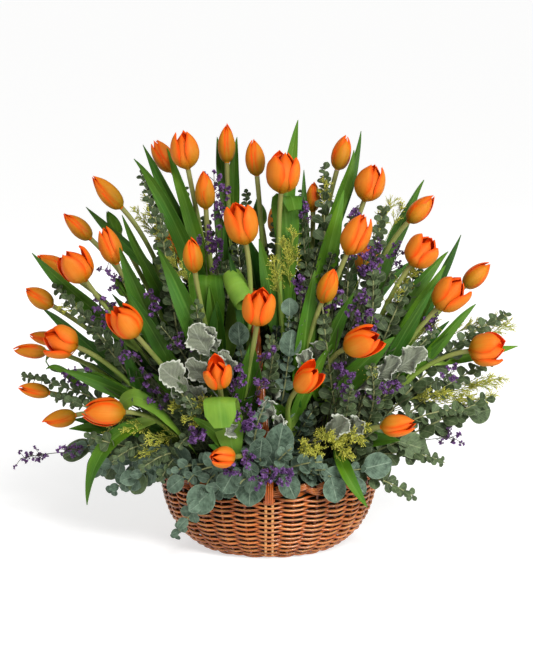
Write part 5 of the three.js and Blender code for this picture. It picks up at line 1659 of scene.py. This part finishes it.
FINE_SPRIGS = {
    "eucalyptus_left": (
        ((170, 300, 40), (160, 214, 45), 24, 0.3), ((186, 260, 70), (184, 186, 80), 24, 0.4),
        ((130, 380, 25), (86, 318, 40), 24, 0.35), ((120, 415, 15), (52, 396, 30), 24, 0.3),
        ((150, 425, 0), (112, 462, -2), 26, 0.3), ((175, 440, -5), (140, 470, 2), 24, 0.3),
        ((180, 400, 10), (130, 400, 5), 24, 0.3), ((205, 380, 5), (196, 300, 25), 24, 0.4),
        ((150, 330, 40), (110, 246, 60), 24, 0.4), ((195, 420, -5), (178, 448, -8), 24, 0.3),
        ((200, 418, -12), (172, 378, -16), 28, 0.35), ((206, 424, -12), (186, 396, -16), 26, 0.35),
        ((176, 440, 10), (160, 482, 16), 24, 0.4),
    ),
    "eucalyptus_right": (
        ((345, 300, 50), (352, 212, 70), 24, 0.35), ((300, 280, 60), (302, 190, 80), 24, 0.4),
        ((410, 300, 50), (424, 240, 60), 24, 0.35), ((440, 380, 15), (492, 362, 25), 24, 0.35),
        ((420, 400, 5), (464, 412, 5), 26, 0.35), ((380, 330, 20), (372, 262, 40), 24, 0.35),
        ((345, 400, -5), (352, 388, -15), 22, 0.4), ((385, 410, 0), (370, 366, -5), 22, 0.4),
        ((330, 380, 5), (322, 302, 10), 24, 0.35), ((400, 360, 15), (436, 330, 15), 24, 0.35),
        ((360, 430, -10), (392, 424, -10), 24, 0.4),
    ),
    "eucalyptus_back": (
        ((252, 300, 120), (246, 190, 110), 26, 0.3), ((280, 320, 140), (276, 214, 120), 26, 0.3),
        ((230, 350, 100), (226, 262, 90), 26, 0.3), ((270, 380, 60), (270, 336, 20), 24, 0.3),
        ((300, 380, 70), (300, 318, 30), 24, 0.3), ((350, 330, 160), (392, 272, 150), 26, 0.3),
        ((170, 330, 160), (128, 272, 160), 26, 0.3), ((160, 380, 200), (80, 352, 200), 28, 0.25),
        ((370, 400, 200), (450, 380, 190), 28, 0.25), ((250, 420, 290), (200, 330, 300), 28, 0.2),
        ((300, 430, 300), (330, 350, 300), 28, 0.2), ((240, 440, 310), (150, 400, 290), 28, 0.2),
        ((290, 450, 310), (390, 410, 290), 28, 0.2), ((272, 400, 20), (274, 340, 6), 26, 0.4),
    ),
    "silver": (
        ((240, 452, -10), (268, 398, -10), 24, 0.45), ((272, 462, -15), (292, 448, -22), 30, 0.4),
        ((292, 462, -12), (322, 462, -14), 30, 0.4), ((246, 472, -16), (240, 484, -12), 34, 0.4),
        ((165, 440, 22), (98, 470, 44), 40, 0.55), ((160, 445, 24), (110, 493, 48), 36, 0.6),
        ((170, 450, 18), (138, 476, 34), 40, 0.6), ((130, 420, 34), (72, 452, 46), 34, 0.6),
        ((205, 452, 2), (188, 482, 8), 32, 0.5), ((194, 450, 8), (170, 476, 14), 28, 0.5),
        ((204, 458, 0), (206, 494, 6), 32, 0.5),
    ),
}
for name, plans in (("sprigs", SPRIGS), ("fine sprigs", FINE_SPRIGS), ("round leaves", ROUND_LEAVES)):
    print(sum(len(rows) for rows in plans.values()), name)

# %% [markdown]
# ## One small leaf, and a twig full of them
# A small leaf is a cupped grid with a round or a spatula outline. Along a twig the leaves come in pairs,
# get smaller towards its tip, lean forward and look to the light, and none grows where a bloom is.

# %% Leaves and twigs
ROUND_OUTLINE = ((0, 0.1), (0.12, 0.62), (0.3, 0.93), (0.5, 1.0), (0.72, 0.86), (0.88, 0.55), (1, 0.12))
SPATULA = ((0, 0.12), (0.2, 0.48), (0.45, 0.86), (0.65, 1.0), (0.82, 0.84), (0.94, 0.5), (1, 0.14))
SMALL_MARKS = (0.2, 0.8)
TWIG_IN_FOAM = np.array([0, 0, 20.0])
STALK_TAPER = (1.2, 0.55)


def small_leaf(
    form, root, way, face, long, wide, outline, rng, rows=8, columns=7, curl=0.12, cup=0.16, dark=0.0,
):
    """A leaf that grows from its root along way and turns its face to the given side."""
    along, across, v, u = grid(rows, columns)
    face, side = crossways(way, face)
    half = wide / 2 * smooth_through(outline, along)[:, None]
    flutter = 0.02 * long * np.sin(v * 5 + rng.uniform(0, 6)) * u
    lift = cup * half * np.abs(u) ** 1.5 - curl * long * v**2 + flutter
    points = root + way * (long * v)[..., None] + side * (half * u)[..., None] + face * lift[..., None]
    # dark paints shade: it pushes the tone below 0, and the finish takes such a leaf towards near black.
    tone = rng.random() * (1 - dark) - dark
    sheet(form, points, 0.9 - 0.35 * np.abs(across), across, along, tone, SMALL_MARKS)


def twig_path(branch, via, tip, solid):
    """A twig's line from the foam to its tip, as bent as its solid if it has one."""
    start = stub_point(branch, STUB_TOP - 3)
    end = spot(*tip)
    rise = np.array([0, 0, np.linalg.norm(end - start) * 0.12])
    middle = spot(*via) if via else (start + end) / 2 + rise
    if not solid:
        return Path(start, middle, end)
    return as_bent(branch, lambda shift: Path(start, middle + shift, end + shift * 0.4))


def grow_twig(form, path, thick, rng, sides=6, steps=24):
    line = path.at(np.linspace(0, 1, steps))
    line = np.concatenate([[line[0] - TWIG_IN_FOAM], line])
    taper = np.interp(np.linspace(0, 1, steps + 1), (0, 1), STALK_TAPER)
    tube(form, line, thick * taper, sides, rng.random())
    mark_last(form, STALK_MARK)


def grow_pairs(form, path, leaf, bare, rng, outline, slim, gap=0.62, dark=0.0):
    """Pairs of leaves up a twig, smaller and closer towards its tip."""
    at = bare * path.length
    number = rng.randrange(2)
    while at < path.length - 2:
        share = at / path.length
        grown = 1 - 0.62 * max(0, (share - bare) / (1 - bare)) ** 1.5
        long = leaf * grown * rng.uniform(0.88, 1.12)
        root, along = path.at(share), path.direction(share)
        toward, beside = crossways(along, (0, -1, 0.25))
        turn = math.radians((72 if number % 2 else 8) + rng.uniform(-16, 16))
        out = beside * math.cos(turn) + toward * math.sin(turn)
        lean = rng.uniform(0.35, 0.75) + 0.3 * share
        for sign in (1, -1):
            way = unit(out * sign + along * lean)
            if outside_heads(root + way * long * 0.6):
                face = LIGHT_SIDE + along * 0.5 + out * sign * rng.uniform(-0.5, 0.5)
                wide = long * slim * rng.uniform(0.9, 1.1)
                small_leaf(form, root, way, face, long, wide, outline, rng, dark=dark)
        at += long * gap
        number += 1


print("a small leaf is 8 by 7 points on each side")

# %% [markdown]
# ## Sprigs and large leaves
# The silver sort hangs over the rim with rounder leaves further apart. A large round leaf takes the last
# part of its path, over a few small ones on its stalk, and has a finer grid, because its edge is seen
# clearly.

# %% Sprigs and round leaves
TWIG_RADIUS = 1.5


def grow_sprig(form, branch, plan, rng, solid):
    via, tip, leaf, bare = plan
    path = twig_path(branch, via, tip, solid)
    fine = leaf * rng.uniform(0.74, 0.94)
    grow_twig(form, path, TWIG_RADIUS, rng)
    if branch == "silver":
        grow_pairs(form, path, leaf * 0.8, bare, rng, ROUND_OUTLINE, 0.84, 0.8)
    else:
        grow_pairs(form, path, fine, bare, rng, SPATULA, 0.82)


def grow_round_leaf(form, branch, plan, rng, solid):
    """One large round leaf on a stalk from its branch, faced to the light."""
    via, tip, long, wide = plan
    path = twig_path(branch, via, tip, solid)
    edge = path.length - long
    stalk = Path(*path.at(np.array([0, 0.5, 1]) * edge / path.length))
    grow_twig(form, stalk, TWIG_RADIUS, rng)
    grow_pairs(form, stalk, long * 0.62, 0.42, rng, ROUND_OUTLINE, 0.86, 0.9)
    root, end = path.at(edge / path.length), path.at(1.0)
    way = unit(end - root)
    outward = (root + end) / 2 * np.array([1, 1, 0]) * 0.004 + LIGHT_SIDE
    small_leaf(
        form, root, way, outward, np.linalg.norm(end - root), wide * 1.06, ROUND_OUTLINE, rng,
        rows=16, columns=13, curl=rng.uniform(0.02, 0.1), cup=rng.uniform(0.02, 0.2),
    )


print("twigs are", 2 * TWIG_RADIUS, "mm thick")

# %% [markdown]
# ## What fills the gaps
# No foam may show, and between the stems one looks into green depth. The collar is three tiers of short
# sprigs round the foam that lean out over the rim, painted somewhat darker as shade. The thicket is thin
# sprigs in all directions, as long as the round of blooms leaves room for, and painted darker still, as
# painted shade, because they get less light.

# %% Collar and thicket
FOAM_HALF = 92
COLLAR_STEP = 13
COLLAR_TIERS = ((0.55, 78, 42), (0.95, 44, 42), (0.9, 30, 68))
# COLLAR_DARK and THICKET_DARK are painted shade: how far a leaf's tone is pushed below 0.
COLLAR_DARK = 0.3
THICKET_FEET = np.array([70, 55, 0])
THICKET_REACH = np.array([285, 150, 385])
THICKET_DARK = 0.5
SPRIG_ROOT = np.array([0, 0, FOAM_TOP - 6])


def grow_collar(form, branch, first, last, rng):
    """Short sprigs from the foam that lean out over the rim and hide the foam."""
    for degrees in range(first, last, COLLAR_STEP):
        turn = math.radians(degrees + rng.uniform(-4, 4))
        out = np.array([math.cos(turn), math.sin(turn) * 0.8, 0])
        for reach, climb, far in COLLAR_TIERS:
            start = out * FOAM_HALF * reach + SPRIG_ROOT
            end = out * (FOAM_HALF * reach + far * rng.uniform(0.85, 1.2))
            end = end + np.array([0, 0, FOAM_TOP + climb * rng.uniform(0.8, 1.1)])
            middle = (start + end) / 2 + np.array([0, 0, 20])
            path = Path(start, middle, end)
            grow_twig(form, path, 1.2, rng, steps=10)
            grow_pairs(form, path, rng.uniform(16, 24), 0.25, rng, SPATULA, 0.86, dark=COLLAR_DARK)


def grow_thicket(form, first, last, count, rng):
    """Sprigs all through the bouquet, as long as the round of blooms leaves room for."""
    for _ in range(count):
        turn = math.radians(rng.uniform(first, last))
        climb = math.radians(rng.uniform(12, 80))
        level = math.cos(climb)
        out = np.array([math.cos(turn) * level, math.sin(turn) * level, math.sin(climb)])
        foot = out * THICKET_FEET * rng.uniform(0.2, 1) + SPRIG_ROOT
        end = np.array([0, 0, 120]) + out * THICKET_REACH * rng.uniform(0.5, 0.86)
        middle = (foot + end) / 2 + np.array([0, 0, 0.1 * np.linalg.norm(end - foot)])
        path = Path(foot, middle, end)
        grow_twig(form, path, 1.3, rng, steps=14)
        grow_pairs(form, path, rng.uniform(17, 23), 0.28, rng, SPATULA, 0.84, dark=THICKET_DARK)


print("the collar has", len(COLLAR_TIERS), "tiers")

# %% [markdown]
# ## The four branches
# Each branch is one piece with one foot in the foam. COLLARS is the part of the round that it covers, in
# degrees, and THICKETS how many sprigs it sends up between the stems.

# %% Grow the eucalyptus
COLLARS = {
    "eucalyptus_left": (130, 250), "eucalyptus_right": (290, 400),
    "eucalyptus_back": (40, 130), "silver": (250, 290),
}
THICKETS = {"eucalyptus_left": 24, "eucalyptus_right": 24, "eucalyptus_back": 26, "silver": 3}
for branch in COLLARS:
    form = Form()
    rng = random.Random("leaves of " + branch)
    for plans, solid in ((SPRIGS, True), (FINE_SPRIGS, False)):
        for plan in plans[branch]:
            grow_sprig(form, branch, plan, rng, solid)
    for plans, solid in ((ROUND_LEAVES, True), (FINE_ROUND_LEAVES, False)):
        for plan in plans.get(branch, ()):
            grow_round_leaf(form, branch, plan, rng, solid)
    grow_collar(form, branch, *COLLARS[branch], rng)
    grow_thicket(form, *COLLARS[branch], THICKETS[branch], rng)
    material = ROUND_WAX if branch == "silver" else SMALL_WAX
    slot = "silver_dollar" if branch == "silver" else "eucalyptus"
    shape_piece(branch, form, material, [branch])

# %% [markdown]
# ## Dusty miller
# White felt covers the leaves, thin on top, where grey green shows, and thick along the scalloped,
# ruffled edge. The grid is fine enough that each scallop and ruffle is real form. Only a sheen can give
# the soft bright edge of felt, so the finish has a little of it. DUSTY are the leaves that the solids
# have too.

# %% Dusty miller in the plan
DUSTY = (
    ((194, 326, 5), 52),
    ((166, 360, 0), 60),
    ((184, 395, -5), 52),
    ((222, 354, 10), 48),
    ((390, 350, 5), 56),
    ((270, 392, 0), 48),
    ((345, 420, -10), 50),
)
MORE_DUSTY = (
    ((190, 362, -2), 46), ((213, 360, 4), 44), ((206, 330, 14), 40), ((229, 428, -16), 36),
    ((376, 372, 0), 48), ((398, 360, 8), 50), ((322, 344, 20), 44), ((308, 352, 16), 36),
    ((268, 404, -14), 46), ((280, 418, -14), 34), ((362, 424, -8), 40), ((172, 384, 4), 50),
)
FELT_OUTLINE = (
    (0, 0.08), (0.1, 0.24), (0.26, 0.62), (0.46, 0.94), (0.64, 1.0), (0.82, 0.86), (0.95, 0.56), (1, 0.3),
)
FELT_ROWS = 60
FELT_COLUMNS = 21
FELT_STALK = 1.3


def felt_finish():
    felt = Finish("white felt")
    across, along, tone = felt.told("spot")
    wide, long, side = felt.told("grain")
    fuzz = felt.noise(felt.place(wide * 1.6, long * 1.6, tone * 30), 1.0, 4)
    fold = ((along * 7 - across.math("ABSOLUTE") * 2.6) * 6.283).math("SINE")
    colour = felt.mix(fuzz.between(0.3, 0.7), rgb(84, 91, 72), rgb(128, 134, 112))
    colour = felt.mix(fold.between(0.3, -0.9) * 0.3, colour, rgb(70, 80, 60))
    rim = across.math("ABSOLUTE").between(0.86, 0.97) + along.between(0.97, 0.995)
    rib = (1 - across.math("ABSOLUTE") * 12).clamped()
    colour = felt.mix((rim + rib * 0.3).clamped() * 0.85, colour, rgb(196, 200, 184))
    colour = felt.mix(side.between(1.4, 1.6), colour, rgb(120, 128, 108))
    return felt.close(
        Base_Color=colour,
        Roughness=0.95,
        Normal=felt.bump(fuzz + fold * 0.4, 0.0008, 0.6),
        Sheen_Weight=0.2,
        Sheen_Roughness=0.6,
    )


FELT = felt_finish()
print("finish", FELT.name)

# %% [markdown]
# ## Ruffled leaves
# Waves of different length make the leaf: long ones cut its outline into lobes, short ones scallop the
# edge, and the ruffle lifts that edge up and down.

# %% Grow the dusty miller
def grow_felt_leaf(form, tip, long, shift, rng):
    root = stub_point("dusty", STUB_TOP)
    end = spot(*tip) + shift
    way = unit(end - root)
    start = end - way * long
    stalk = Path(root, (root + start) / 2 - np.array([0, 4, 0]), start)
    grow_twig(form, stalk, FELT_STALK, rng, steps=10)
    along, across, v, u = grid(FELT_ROWS, FELT_COLUMNS)
    tilt = np.array([rng.uniform(-0.3, 0.3), 0, rng.uniform(-0.2, 0.4)])
    face, side = crossways(way, LIGHT_SIDE + tilt)
    half = long * rng.uniform(0.21, 0.3) * smooth_through(FELT_OUTLINE, along)[:, None]
    lobes = 1 + 0.24 * np.sin(v * rng.uniform(9, 13) + (u > 0) * rng.uniform(1, 5)) * u**2
    scallop = lobes * (1 + 0.2 * np.abs(np.sin(v * 40 + (u > 0) * 1.1)) * u**4)
    breadth = half / half.max()
    ruffle = 3.2 * np.sin(v * 23 + (u > 0) * 0.8 + rng.uniform(0, 6)) * np.abs(u) ** 3 * breadth
    crumple = 2.4 * np.sin(v * 9 + u * 4 + rng.uniform(0, 6)) * breadth
    folds = 0.5 * np.sin((v * 7 - np.abs(u) * 2.6) * 6.283) * np.abs(u) + crumple
    lift = half * 0.3 * np.abs(u) ** 1.6 - long * 0.12 * v**2 + ruffle + folds
    up = long * v * (1 + 0.03 * np.abs(np.sin(u * 9)) * v**6)
    points = start + way * up[..., None] + side * (half * scallop * u)[..., None] + face * lift[..., None]
    sheet(form, points, 1.1 - 0.5 * np.abs(across), across, along, rng.random(), SMALL_MARKS)


form = Form()
rng = random.Random("dusty")
for tip, long in DUSTY + MORE_DUSTY:
    root, end = stub_point("dusty", STUB_TOP), spot(*tip)
    shift = np.zeros(3)
    if (tip, long) in DUSTY:
        shift = as_bent("dusty", lambda by: Path(root, end + by)).at(1.0) - end
    grow_felt_leaf(form, tip, long, shift, rng)
shape_piece("dusty", form, FELT, ["dusty"])

# %% [markdown]
# ## Statice and solidago
# Statice carries loose clusters of small violet funnels on thin branching stalks; solidago is a plume of
# fine yellow green branchlets with tiny buds. Both are grown the same way: a main stalk, branchlets that
# leave it on random sides, and florets or buds at their ends. Things this small need only a plain
# finish: a tone for each, a paler or darker middle, and the colour of the stalk.

# %% Statice and solidago finishes
def twiggy_finish(name, dark, pale, centre, stalk_colour):
    small = Finish(name)
    _, along, tone = small.told("spot")
    side = small.told("grain")[2]
    colour = small.mix(tone, dark, pale)
    colour = small.mix((1 - along * 2.2).clamped() * 0.7, colour, centre)
    return small.close(
        Base_Color=small.mix(side.between(1.4, 1.6), colour, stalk_colour),
        Roughness=0.65,
        Specular_IOR_Level=0.25,
    )


VIOLET = twiggy_finish(
    "statice florets", rgb(60, 32, 76), rgb(126, 88, 146), rgb(84, 62, 80), rgb(56, 58, 34),
)
YELLOW = twiggy_finish(
    "solidago buds", rgb(170, 168, 40), rgb(216, 210, 98), rgb(160, 160, 56), rgb(152, 158, 66),
)
print("finishes", VIOLET.name, "and", YELLOW.name)

# %% [markdown]
# ## Where they stand
# A row gives the tip of a stalk and how long its flowering part is. The fine stalks are only here, as
# the fine sprigs are.

# %% Statice and solidago in the plan
STATICE = {
    "statice_left": (
        ((245, 372, 0), 34), ((248, 408, -10), 50), ((238, 458, -20), 36), ((198, 436, -10), 26),
        ((28, 461, 20), 44), ((101, 306, 40), 34), ((222, 190, 60), 50), ((217, 250, 35), 34),
    ),
    "statice_right": (
        ((357, 206, 60), 28), ((378, 246, 40), 50), ((303, 280, 20), 34), ((360, 300, 10), 44),
        ((388, 390, 0), 28), ((456, 438, 0), 26), ((272, 474, -25), 26), ((346, 375, 0), 40),
    ),
}
FINE_STATICE = {
    "statice_left": (
        ((106, 268, 40), 36), ((76, 374, 20), 26), ((143, 377, 5), 24), ((204, 240, 45), 24),
        ((236, 388, -4), 40), ((254, 420, -12), 40), ((190, 432, -6), 24), ((232, 470, -22), 30),
        ((156, 398, 5), 22), ((64, 450, 18), 30), ((126, 352, 15), 24), ((214, 176, 70), 28),
        ((266, 354, -8), 26), ((262, 386, -14), 30), ((178, 342, 6), 22), ((216, 232, 40), 24),
        ((98, 296, 42), 32), ((70, 376, 24), 30), ((150, 300, 40), 26),
    ),
    "statice_right": (
        ((438, 320, 25), 26), ((455, 371, 10), 24), ((306, 206, 60), 26), ((334, 296, 12), 30),
        ((352, 240, 45), 30), ((400, 250, 45), 30), ((372, 318, 10), 30), ((396, 384, 0), 24),
        ((342, 358, 2), 24), ((284, 478, -25), 24), ((262, 482, -26), 22), ((430, 316, 20), 22),
        ((376, 262, 42), 30), ((352, 392, -6), 24), ((366, 258, 40), 30),
    ),
}
SOLIDAGO = (
    ((148, 198, 80), 70), ((282, 244, 50), 80), ((392, 203, 75), 40), ((500, 318, 40), 60),
    ((354, 428, -5), 76), ((490, 384, 25), 76), ((172, 408, 5), 50), ((112, 436, 15), 56),
)
FINE_SOLIDAGO = (
    ((136, 212, 70), 56), ((158, 232, 60), 50), ((274, 262, 40), 54), ((292, 236, 55), 60),
    ((402, 208, 70), 34), ((412, 274, 45), 36), ((478, 322, 40), 44), ((508, 326, 35), 36),
    ((340, 440, -8), 60), ((318, 452, -14), 50), ((360, 440, -8), 56), ((372, 370, 0), 36),
    ((466, 396, 20), 54), ((478, 404, 20), 50), ((190, 420, -4), 36), ((104, 448, 12), 40),
    ((414, 268, 40), 60), ((400, 292, 34), 60), ((386, 214, 66), 50), ((150, 214, 60), 60),
    ((172, 262, 40), 60), ((326, 184, 76), 40), ((150, 440, 5), 44), ((66, 306, 36), 30),
    ((196, 404, 0), 36), ((128, 428, 10), 36), ((328, 436, -12), 66), ((348, 454, -14), 60),
    ((306, 448, -16), 48), ((366, 428, -4), 60), ((500, 378, 28), 60), ((444, 392, 14), 50),
    ((490, 398, 22), 56), ((146, 452, 16), 44), ((434, 326, 34), 40), ((110, 420, 26), 40),
)
for name, plans in (("statice", STATICE), ("fine statice", FINE_STATICE)):
    print(sum(len(rows) for rows in plans.values()), "stalks of", name)
print(len(SOLIDAGO), "plumes of solidago and", len(FINE_SOLIDAGO), "fine ones")

# %% [markdown]
# ## Florets, buds and branchlets
# There are thousands, so each has few faces: a floret is six rings of ten points, the last two turned
# back inside so that it is hollow, a bud is an egg with five sides, and a branchlet a rod with four.

# %% Florets and buds
FUNNEL = (
    (0, 0.16, 0), (0.5, 0.3, 0), (0.92, 0.62, 0.6), (1.1, 1.0, 1), (0.86, 0.42, 0.3), (0.6, 0.12, 0),
)
FUNNEL_SIDES = 10
BETWEEN_POINTS = 0.62
BUD_SIDES = 5
BRANCHLET_SIDES = 4


def floret(form, root, way, size, rng):
    """A five pointed funnel."""
    first, second = crossways(way, (0, -1, 0.3))
    corner = np.arange(FUNNEL_SIDES)
    around = corner * math.pi / 5 + rng.uniform(0, 6)
    point = np.where(corner % 2, BETWEEN_POINTS, 1.0)
    rings = []
    for up, out, sharp in FUNNEL:
        reach = size * out * (1 + (point - 1) * sharp)
        ring = root + way * size * up + first * (reach * np.cos(around))[:, None]
        rings.append(ring + second * (reach * np.sin(around))[:, None])
    rows = len(FUNNEL)
    size_of_grid = (rows, FUNNEL_SIDES)
    first_of_last = (rows - 1) * FUNNEL_SIDES
    caps = [list(range(FUNNEL_SIDES))[::-1], list(range(first_of_last, rows * FUNNEL_SIDES))]
    share = np.broadcast_to(np.linspace(0, 1, rows)[:, None], size_of_grid)
    spots = np.stack([np.zeros(size_of_grid), share, np.full(size_of_grid, rng.random())], -1)
    blank = np.zeros((*size_of_grid, 3))
    form.put(np.array(rings), grid_faces(rows, FUNNEL_SIDES, True), spots, blank, caps)


def bud(form, root, way, size, rng):
    """A small egg."""
    first, second = crossways(way, (0, -1, 0.3))
    line = root + way * (np.array([0, 0.5, 1.2, 1.8]) * size)[:, None]
    thick = np.array([0.3, 0.8, 0.7, 0.15]) * size
    first, second = np.broadcast_to(first, (4, 3)), np.broadcast_to(second, (4, 3))
    sweep(form, line, first, second, thick, thick, BUD_SIDES, rng.random())


def any_way(rng, along, spread):
    """A direction that leaves the stalk by about the given angle on a random side."""
    first, second = crossways(along, (0, -1, 0.2))
    turn = rng.uniform(0, 2 * math.pi)
    aside = first * math.cos(turn) + second * math.sin(turn)
    return unit(along * math.cos(spread) + aside * math.sin(spread))


def twiglet(form, start, way, long, thick, rng):
    """A short branchlet; it answers with its end and the direction there."""
    end = start + way * long
    middle = (start + end) / 2 + np.array([0, 0, long * 0.08])
    line = Path(start, middle, end).at(np.linspace(0, 1, 5))
    tube(form, line, np.linspace(thick, thick * 0.6, 5), BRANCHLET_SIDES, rng.random())
    mark_last(form, STALK_MARK)
    return end, unit(end - middle)


print("a floret has", len(FUNNEL) * FUNNEL_SIDES, "points")

# %% [markdown]
# ## Clusters and plumes
# A cluster of statice is six to ten florets round the end of a branchlet. A plume of solidago tapers:
# its branchlets are longest at its foot, and each carries finer ones with two buds.

# %% Clusters and plumes
STALK_SIDES = 5
STATICE_STALK = 0.85
SOLIDAGO_STALK = 0.8


def grow_statice(form, branch, plan, rng, solid):
    tip, tall = plan
    path = twig_path(branch, None, tip, solid)
    grow_twig(form, path, STATICE_STALK, rng, sides=STALK_SIDES)
    at = path.length - tall
    while at < path.length:
        share = at / path.length
        way = any_way(rng, path.direction(share), math.radians(rng.uniform(30, 60)))
        end, way = twiglet(form, path.at(share), way, rng.uniform(7, 17), 0.55, rng)
        for _ in range(rng.randint(6, 10)):
            lean = any_way(rng, way, math.radians(rng.uniform(5, 75)))
            size = rng.uniform(1.9, 2.9)
            root = end + lean * rng.uniform(0.3, 2.6) - way * rng.uniform(0, 6)
            if outside_heads(root + lean * size, 0):
                floret(form, root, lean, size, rng)
        at += rng.uniform(2.6, 4.4)


def grow_solidago(form, plan, rng, solid):
    tip, tall = plan
    path = twig_path("solidago", None, tip, solid)
    grow_twig(form, path, SOLIDAGO_STALK, rng, sides=STALK_SIDES)
    at = path.length - tall
    while at < path.length:
        share = at / path.length
        left = (path.length - at) / tall
        way = any_way(rng, path.direction(share), math.radians(rng.uniform(18, 36)))
        long = rng.uniform(13, 23) * (0.5 + 0.7 * left)
        end, onward = twiglet(form, path.at(share), way, long, 0.5, rng)
        if outside_heads(end, 0):
            bud(form, end, onward, 0.9, rng)
            for _ in range(rng.randint(5, 8)):
                from_here = path.at(share) + (end - path.at(share)) * rng.uniform(0.25, 0.95)
                lean = any_way(rng, way, math.radians(rng.uniform(22, 42)))
                bud_root, onward = twiglet(form, from_here, lean, rng.uniform(4, 8.5), 0.38, rng)
                bud(form, bud_root, onward, rng.uniform(0.6, 0.88), rng)
                beside = any_way(rng, lean, 0.7)
                bud(form, bud_root - lean * rng.uniform(1.5, 3), beside, rng.uniform(0.6, 0.85), rng)
        at += rng.uniform(2.4, 4.0)


for branch in STATICE:
    form = Form()
    rng = random.Random("florets of " + branch)
    for plans, solid in ((STATICE, True), (FINE_STATICE, False)):
        for plan in plans[branch]:
            grow_statice(form, branch, plan, rng, solid)
    shape_piece(branch, form, VIOLET, [branch])
form = Form()
rng = random.Random("plumes")
for plans, solid in ((SOLIDAGO, True), (FINE_SOLIDAGO, False)):
    for plan in plans:
        grow_solidago(form, plan, rng, solid)
shape_piece("solidago", form, YELLOW, ["solidago"])
